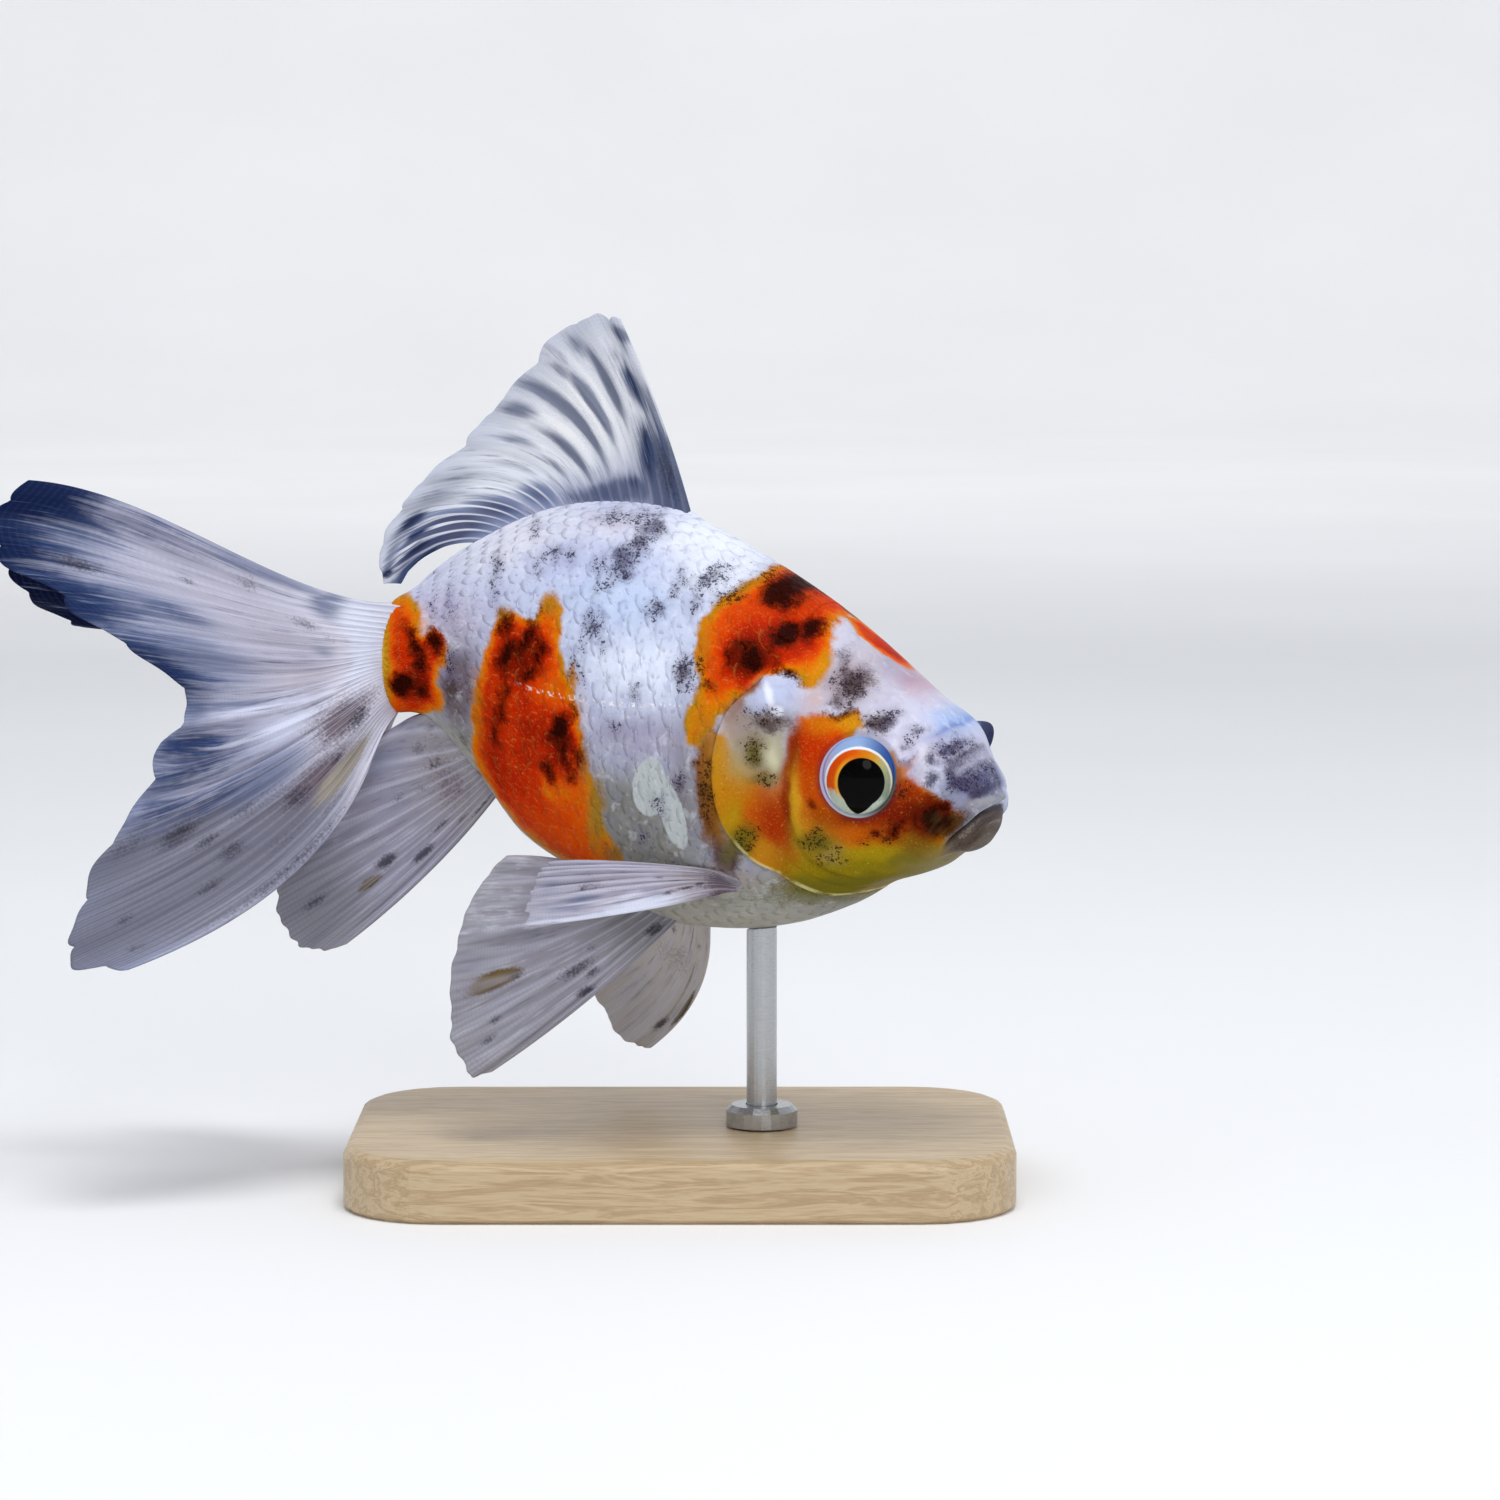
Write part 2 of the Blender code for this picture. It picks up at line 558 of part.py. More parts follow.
# --- colours -----------------------------------------------------------------
COLOURS = {                     # red, green, blue, roughness, metallic
    "head": (0.78, 0.42, 0.16, 0.32, 0.0),
    "gill_cover": (0.86, 0.46, 0.10, 0.28, 0.0),
    "trunk": (0.70, 0.72, 0.82, 0.32, 0.0),
    "tail_stem": (0.80, 0.26, 0.05, 0.32, 0.0),
    "eye": (0.02, 0.02, 0.02, 0.05, 0.0),
    "dorsal_fin": (0.52, 0.56, 0.70, 0.4, 0.0),
    "tail_fin": (0.40, 0.45, 0.66, 0.4, 0.0),
    "anal_fin": (0.55, 0.55, 0.64, 0.4, 0.0),
    "pectoral_fin": (0.72, 0.72, 0.80, 0.4, 0.0),
    "pelvic_fin": (0.55, 0.54, 0.60, 0.4, 0.0),
    "stand_base": (0.62, 0.52, 0.40, 0.45, 0.0),
    "stand_collar": (0.66, 0.66, 0.66, 0.3, 1.0),
    "stand_rod": (0.66, 0.66, 0.66, 0.3, 1.0),
}


def paint():
    """Give each named piece its own material."""
    for obj in bpy.data.objects:
        if obj.name.startswith("seat_"):
            continue
        key = obj.name
        if key not in COLOURS:
            key = key.rsplit("_", 1)[0]
        r, g, b, rough, metal = COLOURS[key]
        mat = bpy.data.materials.new(obj.name)
        mat.use_nodes = True
        shader = mat.node_tree.nodes["Principled BSDF"]
        shader.inputs["Base Color"].default_value = (r, g, b, 1.0)
        shader.inputs["Roughness"].default_value = rough
        shader.inputs["Metallic"].default_value = metal
        obj.data.materials.append(mat)


def main():
    for obj in list(bpy.data.objects):
        bpy.data.objects.remove(obj)
    stem, trunk, head = build_body()
    build_head_parts(head)
    cutter = build_fins()
    build_stand(cutter)
    paint()


main()
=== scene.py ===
"""Looks of the calico fancy goldfish: skin, scales, eyes, fins, stand, light and camera.

Lengths below are millimetres unless a name says otherwise; meshes are written in metres.
Places on the body are (station along X, angle round the body from the back over the
fish's right side), and the same body lines as the frame's solids are used.
"""
import math

import bpy
import numpy as np
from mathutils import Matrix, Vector


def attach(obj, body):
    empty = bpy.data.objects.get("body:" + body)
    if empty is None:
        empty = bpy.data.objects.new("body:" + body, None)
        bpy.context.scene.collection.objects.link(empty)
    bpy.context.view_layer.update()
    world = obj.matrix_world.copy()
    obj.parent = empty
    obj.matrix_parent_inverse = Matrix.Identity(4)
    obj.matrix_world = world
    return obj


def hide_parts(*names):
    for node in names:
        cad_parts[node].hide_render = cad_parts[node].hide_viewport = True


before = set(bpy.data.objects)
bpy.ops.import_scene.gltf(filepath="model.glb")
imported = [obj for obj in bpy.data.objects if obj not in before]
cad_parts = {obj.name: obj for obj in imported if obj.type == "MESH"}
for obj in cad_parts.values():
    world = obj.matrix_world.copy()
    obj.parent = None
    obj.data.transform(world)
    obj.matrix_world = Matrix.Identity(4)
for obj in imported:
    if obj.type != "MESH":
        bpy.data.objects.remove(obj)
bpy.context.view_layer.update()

MM = 0.001
RNG = np.random.default_rng(11)
NONE_NEAR = 9.0                 # distance stored where a mark has nothing near it
OUTSIDE = -6.0                  # depth stored far outside every outline
MATT = 0.012                    # specular level of skin, scales and fins

# --- body lines, as in the frame's solids ------------------------------------
TAIL_YAW = 4.0
HEAD_YAW = 25.0
YAW_START = -25.0
YAW_LENGTH = 55.0
BACK_LINE = ((-44.0, 84.4), (-38.0, 87.2), (-30.6, 92.4), (-19.7, 97.6), (-8.8, 99.1),
             (1.4, 97.6), (11.4, 92.4), (22.1, 85.0), (31.3, 77.0), (39.7, 69.4), (46.3, 63.2))
BELLY_LINE = ((-44.0, 68.2), (-37.0, 68.0), (-29.3, 59.5), (-22.8, 51.0), (-11.8, 44.1), (-3.1, 39.2),
              (7.8, 38.0), (17.2, 39.2), (24.5, 42.0), (31.4, 45.5), (40.0, 49.6), (46.3, 53.4))
WIDEST_LINE = ((-44.0, 76.4), (-30.0, 77.0), (-15.0, 69.5), (0.0, 65.0), (15.0, 61.5),
               (30.0, 60.0), (46.3, 58.4))
HALF_WIDTH = ((-44.0, 4.2), (-37.0, 5.6), (-29.0, 9.2), (-20.0, 13.8), (-10.0, 17.4), (0.0, 19.2),
              (9.0, 19.6), (18.0, 18.7), (26.0, 17.0), (33.0, 14.6), (39.5, 11.4), (46.3, 7.6))
BACK_RIDGE = ((-44.0, 1.0), (-20.0, 1.2), (0.0, 1.2), (16.0, 1.02), (30.0, 0.86), (46.3, 0.9))
BELLY_FULL = 0.9
BODY_REAR = -44.3
REAR_CAP = 3.6                  # length over which the tail stem rounds off
SNOUT_TIP = 46.0
SNOUT_CAP = 5.8
SNOUT_HEIGHT = 58.3
REAR_ROUND = 2.2                # powers that set how blunt the two ends are
SNOUT_ROUND = 2.4
SPINE_ENDS = (-130.0, 80.0)     # stations from beyond the tail to beyond the snout
SPINE_POINTS = 4201
GILL_EDGE = ((0.0, 21.5), (35.0, 21.0), (58.0, 17.6), (72.0, 13.1), (84.0, 11.3), (95.0, 11.3),
             (104.6, 12.3), (112.0, 14.0), (119.6, 16.6), (126.5, 20.0), (134.0, 21.8),
             (144.0, 24.2), (156.0, 27.2), (180.0, 29.0))
CHEEK_EDGE = ((0.0, 24.0), (62.0, 24.4), (80.0, 22.9), (104.0, 22.6), (122.0, 24.2), (140.0, 28.5),
              (160.0, 32.0), (180.0, 33.0))
LOW_SEAM = ((60.0, 11.0), (100.0, 14.5), (120.0, 17.0), (150.0, 24.0))
EYE_STATION = 30.9
EYE_HEIGHT = 62.4
EYE_OUT = 13.3
EYE_TURN = 18.0                 # degrees the eye's axis points forward of straight out
EYE_AHEAD = 5.4                 # half sizes of the eyeball: along the head, upright, and outward
EYE_UPRIGHT = 5.7
EYE_DEEP = 4.4
LID = 5.3                       # upright radius of the opening in the skin
LID_ROUNDING = 0.6              # width over which the skin turns down into the socket
SOCKET = 3.4                    # how far the skin dips under the eyeball
MOUTH_HEIGHT = 57.6
MOUTH_SLOPE = 1.0
NOSTRIL_STATION = 38.4
NOSTRIL_ANGLE = 56.0
LEFT_NOSTRIL_BACK = 1.1         # the left flap stands this much further back
# Forms of a nostril: along, degrees round, share of the flap's height or a depth, and width.
NOSTRIL_FLAP = ((-0.2, 0.0, 1.0), (0.5, 8.0, 0.8))
NOSTRIL_PITS = ((1.75, 3.0, -0.7, 0.62), (-1.7, 1.0, -0.5, 0.55))
FLAP_FORM = {1: (1.0, 1.1), -1: (3.1, 1.7)}     # height and width of the right and the left flap
PEARL_DOMES = ((11.4, 135.0, 1.0, 2.2), (9.2, 137.0, 0.5, 2.4))
COAT = 0.14                     # depth of the scales over the skin
COVER_PROUD = 0.62              # how far the gill cover stands out at its edge, fading forward
COVER_FADE = 4.5
TUCK = 0.42                     # how far the body is drawn in behind the edge, fading to the rear
TUCK_FADE = 1.3
SHEATH = 0.7                    # height of the sheath along the dorsal fin's root
MUSCLE = 0.1                    # height of the faint bands on the side
TIP_HOLLOW = 0.45               # how far the sides of the snout's tip are drawn in
# Hills and hollows (below zero) across a line: height, distance from the line, width.
CHEEK_CREASE = ((0.3, 0.8, 0.9), (-0.42, -0.2, 0.42))
COVER_SEAM = ((-0.22, 4.2, 0.5),)
EYE_RIM = ((0.35, 0.1, 0.3), (0.3, 1.2, 1.5), (-0.2, 0.75, 0.3))
LIPS = ((0.25, 0.9, 0.55), (0.1, -1.0, 0.7), (-0.8, 0.0, 0.2), (-0.25, 0.0, 0.7))
LIP_FOLDS = ((-0.26, 2.2, 0.5), (-0.25, -2.6, 0.6))
# Brow, and hollow beside the snout: height, station, width, degrees round, width in degrees.
SNOUT_FORMS = ((0.7, 39.2, 2.4, 24.0, 16.0), (-1.2, 43.0, 1.3, 44.0, 22.0))
# Chin, hollow behind it and at the throat: height, station, width, degrees where it starts and is full.
CHIN_FORMS = ((0.3, 42.3, 0.9, 140.0, 160.0), (-0.85, 40.2, 1.5, 146.0, 168.0),
              (-0.6, 30.5, 3.4, 150.0, 172.0))


def smooth_at(table, x):
    """Values of a smooth line through a short table of (position, value)."""
    pos = np.array([row[0] for row in table], float)
    val = np.array([row[1] for row in table], float)
    x = np.asarray(x, float)
    i = np.clip(np.searchsorted(pos, x, side="left") - 1, 0, len(pos) - 2)
    slope = np.empty(len(pos))
    slope[1:-1] = (val[2:] - val[:-2]) / (pos[2:] - pos[:-2])
    slope[0] = (val[1] - val[0]) / (pos[1] - pos[0])
    slope[-1] = (val[-1] - val[-2]) / (pos[-1] - pos[-2])
    h = pos[i + 1] - pos[i]
    t = (x - pos[i]) / h
    a = 2 * t ** 3 - 3 * t ** 2 + 1
    b = t ** 3 - 2 * t ** 2 + t
    c = 3 * t ** 2 - 2 * t ** 3
    d = t ** 3 - t ** 2
    return a * val[i] + b * h * slope[i] + c * val[i + 1] + d * h * slope[i + 1]


def ramp(x, low, high):
    """Smooth step from 0 at low to 1 at high."""
    t = np.clip((np.asarray(x, float) - low) / (high - low), 0.0, 1.0)
    return t * t * (3 - 2 * t)


def window(x, start, full, fade, end):
    """Smooth rise from start to full, and fall from fade to end."""
    return ramp(x, start, full) * ramp(x, end, fade)


def bump(distance, width):
    """Smooth hill, 1 at no distance."""
    return np.exp(-(distance / width) ** 2)


def hills(table, distance):
    """Sum of the hills of a table, at a distance from their line."""
    return sum(high * bump(distance - at, wide) for high, at, wide in table)


def yaw_at(x):
    """Turn of the spine at a station, in radians."""
    t = ramp(x, YAW_START, YAW_START + YAW_LENGTH)
    return np.radians(TAIL_YAW + (HEAD_YAW - TAIL_YAW) * t)


def spine_line():
    """Stations along the whole spine, and its sideways place there."""
    x = np.linspace(*SPINE_ENDS, SPINE_POINTS)
    slope = np.tan(yaw_at(x))
    y = -np.concatenate(([0.0], np.cumsum((slope[1:] + slope[:-1]) / 2 * np.diff(x))))
    return x, y - np.interp(0.0, x, y)


SPINE_X, SPINE_Y = spine_line()


def from_spine(x, out, z):
    """World points beside the spine; out is positive to the fish's right."""
    x, out, z = np.broadcast_arrays(np.asarray(x, float), out, z)
    a = yaw_at(x)
    return np.stack((x - out * np.sin(a), np.interp(x, SPINE_X, SPINE_Y) - out * np.cos(a), z), -1)


def bare_body(x, angle):
    """Smooth body surface with no relief."""
    front = np.clip((x - (SNOUT_TIP - SNOUT_CAP)) / SNOUT_CAP, 0.0, 1.0)
    rear = np.clip((BODY_REAR + REAR_CAP - x) / REAR_CAP, 0.0, 1.0)
    close = np.sqrt(np.maximum(1 - front ** SNOUT_ROUND, 0.0))
    tail = np.sqrt(np.maximum(1 - rear ** REAR_ROUND, 0.0))
    wide = smooth_at(WIDEST_LINE, x)
    mid = SNOUT_HEIGHT + (wide - SNOUT_HEIGHT) * close
    s = np.sin(angle)
    c = np.cos(angle)
    up = (smooth_at(BACK_LINE, x) - wide) * close * tail
    down = (wide - smooth_at(BELLY_LINE, x)) * close * tail
    rise = np.where(c >= 0, up, down)
    power = np.where(c >= 0, smooth_at(BACK_RIDGE, x), BELLY_FULL)
    out = smooth_at(HALF_WIDTH, x) * close * tail * np.sign(s) * np.abs(s) ** power
    return from_spine(x, out, mid + rise * c)


def degrees_round(angle):
    """Angle from the back, 0 to 180, whichever side."""
    return np.degrees(np.arccos(np.clip(np.cos(angle), -1.0, 1.0)))


def gill_edge(angle):
    """Station of the gill cover's rear edge."""
    return smooth_at(GILL_EDGE, degrees_round(angle))


def normals_of(x, angle):
    """Outward normals of the bare body."""
    step = 0.05
    turn = 0.004
    low = np.clip(x - step, BODY_REAR + 0.02, SNOUT_TIP - 0.05)
    high = np.clip(x + step, BODY_REAR + 0.1, SNOUT_TIP - 0.02)
    along = bare_body(high, angle) - bare_body(low, angle)
    here = np.clip(x, BODY_REAR + 0.05, SNOUT_TIP - 0.04)
    across = bare_body(here, angle + turn) - bare_body(here, angle - turn)
    n = np.cross(across, along)
    return n / np.maximum(np.linalg.norm(n, axis=-1, keepdims=True), 1e-9)


def eye_axes(side):
    """Unit vectors of one eye: forward in the plane of its ring, and straight out of it."""
    a = float(yaw_at(EYE_STATION))
    t = math.radians(EYE_TURN)
    ahead = np.array((math.cos(a), -math.sin(a), 0.0))
    aside = np.array((-side * math.sin(a), -side * math.cos(a), 0.0))
    return ahead * math.cos(t) - aside * math.sin(t), ahead * math.sin(t) + aside * math.cos(t)


def eye_centre(side):
    return from_spine(EYE_STATION, EYE_OUT * side, EYE_HEIGHT)


def eye_distance(p, side):
    """Distance from the eye's axis, as on its upright radius, and depth along the axis."""
    rel = p - eye_centre(side)
    ahead, axis = eye_axes(side)
    return np.hypot(rel @ ahead * EYE_UPRIGHT / EYE_AHEAD, rel[..., 2]), rel @ axis


def distance_to(p, station, degrees):
    """Distance of points from one place on the bare body."""
    spot = bare_body(np.array(station), np.array(math.radians(degrees)))
    return np.linalg.norm(p - spot, axis=-1)


def mouth_gap(x, z):
    """Distance above the line where the lips meet."""
    return (z - MOUTH_HEIGHT - MOUTH_SLOPE * (x - SNOUT_TIP)) / math.hypot(1, MOUTH_SLOPE)


def gill_relief(x, deg):
    """The gill cover's raised edge, the crease in front of it and the seam low on it."""
    ahead = x - smooth_at(GILL_EDGE, deg)
    proud = COVER_PROUD * np.exp(-np.maximum(ahead, 0) / COVER_FADE)
    tucked = -TUCK * np.exp(np.minimum(ahead, 0) / TUCK_FADE)
    side = window(deg, 48, 66, 146, 164)
    crease = hills(CHEEK_CREASE, x - smooth_at(CHEEK_EDGE, deg)) * window(deg, 60, 78, 136, 150)
    crease = np.where((ahead > 0.5) & (x < 40), crease, 0.0)
    seam = hills(COVER_SEAM, x - smooth_at(LOW_SEAM, deg)) * (ahead > 1.0) * ramp(deg, 100, 118)
    return (np.where(ahead >= 0, proud, tucked) + seam) * side + crease


def eye_relief(side, p):
    """The eye's socket with a ring and a soft rim round it."""
    r, deep = eye_distance(p, side)
    socket = SOCKET * ramp(r, LID, LID - LID_ROUNDING)
    return np.where(deep > -3, hills(EYE_RIM, r - LID) - socket, 0.0)


def nostril_relief(side, p):
    """A nasal flap between two small pits."""
    tall, wide = FLAP_FORM[side]
    back = 0.0 if side > 0 else LEFT_NOSTRIL_BACK
    flap = [(along, turn, share * tall, wide) for along, turn, share in NOSTRIL_FLAP]
    out = 0.0
    for along, turn, high, width in (*flap, *NOSTRIL_PITS):
        away = distance_to(p, NOSTRIL_STATION - back + along, (NOSTRIL_ANGLE + turn) * side)
        out = out + high * bump(away, width)
    return out


def snout_relief(x, deg):
    """Brow, hollow sides of the snout, chin and throat."""
    out = -TIP_HOLLOW * ramp(x, 43.4, 45.0) * ramp(deg, 40, 60)
    for high, station, wide, turn, turn_wide in SNOUT_FORMS:
        out = out + high * bump(x - station, wide) * bump(deg - turn, turn_wide)
    for high, station, wide, start, full in CHIN_FORMS:
        out = out + high * bump(x - station, wide) * ramp(deg, start, full)
    return out


def mouth_relief(x, p):
    """Lips, the slit between them and the folds that frame them."""
    gap = mouth_gap(x, p[..., 2])
    return ramp(x, 39.4, 42.5) * hills(LIPS, gap) + ramp(x, 37.0, 40.0) * hills(LIP_FOLDS, gap)


def trunk_relief(x, deg, p):
    """Pearly scales that stand proud, the dorsal fin's sheath and faint muscle bands."""
    out = 0.0
    for station, turn, high, wide in PEARL_DOMES:
        for side in (1, -1):
            out = out + high * bump(distance_to(p, station, turn * side), wide)
    sheath = SHEATH * bump(deg, 5.0) * window(x, -40.0, -35.0, 1.0, 4.5)
    muscle = MUSCLE * np.sin(x * 2.1 + 0.9 * np.cos(np.radians(deg) * 3))
    return out + sheath + muscle * ramp(smooth_at(GILL_EDGE, deg) - x, 2, 8) * bump(deg - 88, 46)


def relief(x, angle, p):
    """Height of the skin's own forms over the bare body, in millimetres."""
    deg = degrees_round(angle)
    out = gill_relief(x, deg) + snout_relief(x, deg) + mouth_relief(x, p) + trunk_relief(x, deg, p)
    for side in (1, -1):
        out = out + np.where(np.sign(np.sin(angle)) == side, eye_relief(side, p), 0.0)
        out = out + nostril_relief(side, p)
    return out


def skin_surface(x, angle, lift=0.0):
    """Skin points with their relief, and the bare normals."""
    p = bare_body(x, angle)
    n = normals_of(x, angle)
    ends = ramp(x, BODY_REAR, BODY_REAR + 2.0)
    h = relief(x, angle, p) * ends - COAT + lift
    return p + n * np.asarray(h)[..., None], n


# --- mesh helpers ------------------------------------------------------------
def grid_faces(rows, cols):
    """Corner numbers of the faces of a rows x cols grid of points."""
    r, c = np.meshgrid(np.arange(rows - 1), np.arange(cols - 1), indexing="ij")
    a = (r * cols + c).ravel()
    return np.stack((a, a + 1, a + cols + 1, a + cols), -1)


def grid_border(rows, cols):
    """Numbers of the points round the edge of such a grid."""
    first = list(range(cols))
    right = [r * cols + cols - 1 for r in range(1, rows)]
    last = [(rows - 1) * cols + c for c in range(cols - 2, -1, -1)]
    left = [r * cols for r in range(rows - 2, 0, -1)]
    return np.array(first + right + last + left)


def slab_faces(rows, cols):
    """Faces of a closed slab whose points are two such grids: both sides, then the rim."""
    side = grid_faces(rows, cols)
    edge = grid_border(rows, cols)
    after = np.roll(edge, -1)
    count = rows * cols
    rim = np.stack((edge, edge + count, after + count, after), -1)
    return np.concatenate((side, side[:, ::-1] + count, rim))


def ring_faces(rows, cols):
    """Faces between rings of points, then two fans to the points that close the ends."""
    r, c = np.meshgrid(np.arange(rows - 1), np.arange(cols), indexing="ij")
    d = (c + 1) % cols
    sides = np.stack((r * cols + c, (r + 1) * cols + c, (r + 1) * cols + d, r * cols + d), -1)
    c = np.arange(cols)
    d = (c + 1) % cols
    last = (rows - 1) * cols
    rear = np.stack((c, d, np.full_like(c, rows * cols)), -1)
    front = np.stack((last + d, last + c, np.full_like(c, rows * cols + 1)), -1)
    return sides.reshape(-1, 4).tolist() + rear.tolist() + front.tolist()


def add_marks(mesh, marks):
    """Store values, or colours of four parts, on the mesh's points."""
    for key, values in marks.items():
        values = np.asarray(values, np.float32).ravel()
        if values.size > len(mesh.vertices):
            mesh.attributes.new(key, "FLOAT_COLOR", "POINT").data.foreach_set("color", values)
        else:
            mesh.attributes.new(key, "FLOAT", "POINT").data.foreach_set("value", values)


def new_mesh(name, points, faces, marks, uv):
    """Mesh from millimetre points, with its marks and the place of each corner on the unwrap."""
    mesh = bpy.data.meshes.new(name)
    mesh.from_pydata((points * MM).tolist(), [], faces)
    add_marks(mesh, marks)
    layer = mesh.uv_layers.new(name="OFBake")
    layer.data.foreach_set("uv", uv.astype(np.float32).ravel())
    return mesh


def face_out(mesh):
    """Turn the faces round if the mesh's volume comes out negative."""
    mesh.calc_loop_triangles()
    co = np.empty(len(mesh.vertices) * 3)
    mesh.vertices.foreach_get("co", co)
    co = co.reshape(-1, 3)
    tri = np.empty(len(mesh.loop_triangles) * 3, np.int32)
    mesh.loop_triangles.foreach_get("vertices", tri)
    a, b, c = (co[tri.reshape(-1, 3)[:, k]] for k in range(3))
    if (np.cross(a, b) * c).sum() < 0:
        mesh.flip_normals()


def place_piece(name, mesh, material, nodes=()):
    """Object from a mesh, riding on the body, outside facing out."""
    mesh.shade_smooth()
    mesh.materials.append(material)
    obj = bpy.data.objects.new(name, mesh)
    bpy.context.scene.collection.objects.link(obj)
    face_out(mesh)
    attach(obj, "root")
    if nodes:
        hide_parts(*nodes)


# --- markings on the body ---------------------------------------------------------
# Outlines of the orange patches, as (station, height) round each patch.
FIRE = (
    ((7, 80), (6.9, 82.2), (7.8, 84.4), (9.4, 86.4), (11.2, 87.8), (13.2, 89.4), (14.6, 93), (19, 90.6),
     (25, 87), (23.6, 84.2), (24.4, 82.2), (25.2, 80), (25.8, 77.6), (25.4, 75), (23.8, 74.4), (22.2, 75.8),
     (20.4, 76.8), (18.6, 76.2), (17.2, 75), (16, 73.4), (14.2, 72), (12.2, 70.6), (10.8, 68.4),
     (8.8, 65.8), (6.8, 66.8), (6, 69.6), (6.6, 72), (8, 73.6), (8.2, 75.4), (7.4, 77.6)),
    ((-18.2, 87), (-16.4, 86.8), (-15.4, 84.8), (-15.4, 82), (-15.8, 80), (-15, 78.2), (-14.8, 76.4),
     (-13.8, 75.2), (-13.2, 77.6), (-12.6, 75), (-13.2, 72.6), (-12.6, 70.6), (-11.8, 68), (-11.2, 65),
     (-10.4, 62), (-9.6, 59), (-8.9, 56), (-8.3, 53.6), (-7.2, 51.6), (-5.6, 50), (-5.4, 48.4),
     (-6.5, 47.2), (-9, 46.4), (-12.6, 46.2), (-17, 47.6), (-20.6, 50), (-23.4, 52.4), (-25.6, 55.2),
     (-27.2, 58), (-29, 60.4), (-29.8, 63.4), (-29.6, 67), (-29.2, 71), (-28.6, 74.4), (-27.6, 77.6),
     (-26.6, 80.4), (-25.8, 82.8), (-25.2, 84.6), (-24, 84.8), (-22.8, 84), (-21.4, 83.6), (-19.8, 83.4),
     (-19, 85)),
    ((-43.6, 87), (-41.6, 86.2), (-41, 85.6), (-39.6, 86.6), (-38.2, 85.4), (-37.2, 83.6), (-37.6, 81.4),
     (-36.6, 80.6), (-35.4, 82), (-34.2, 80.8), (-33, 78.6), (-33.2, 76.4), (-34.4, 75.2), (-34.6, 73.2),
     (-33.8, 71.4), (-34, 69.4), (-37, 68.6), (-40, 67), (-43.8, 66.4), (-44.4, 70), (-44.6, 74),
     (-44.6, 78), (-44.4, 82)),
)
# The patch on the cheek, which ends at the gill cover's edge.
CHEEK = (
    ((10, 68.2), (12.4, 68.2), (13.6, 67), (14.2, 65.2), (15.4, 63.2), (17.4, 61.8), (19.2, 61),
     (20.8, 61.8), (21.8, 63.6), (22.4, 66.2), (22.9, 68.8), (23.8, 71), (25.6, 70.6), (27.2, 71),
     (28.8, 71.4), (30.4, 71.2), (31.2, 69.6), (30.4, 68.4), (31, 66), (35.2, 66), (36.2, 63.8),
     (37.6, 61.8), (40, 60.4), (42, 59), (43, 57.2), (42.4, 55), (40.8, 52.6), (38.6, 49.8), (35.4, 47),
     (31, 44.8), (27, 43.2), (22, 42.6), (16, 44.4), (11, 48), (9, 54), (9.4, 60)),
)
# The patch on the crown, as (station, out to the right).
CROWN = (
    ((23.4, -0.6), (24.8, 1.2), (26.4, 2.2), (28.6, 1.6), (30.6, 0), (32.2, -1.6), (32, -4), (30, -6),
     (27, -6.2), (23.6, -3.5)),
)
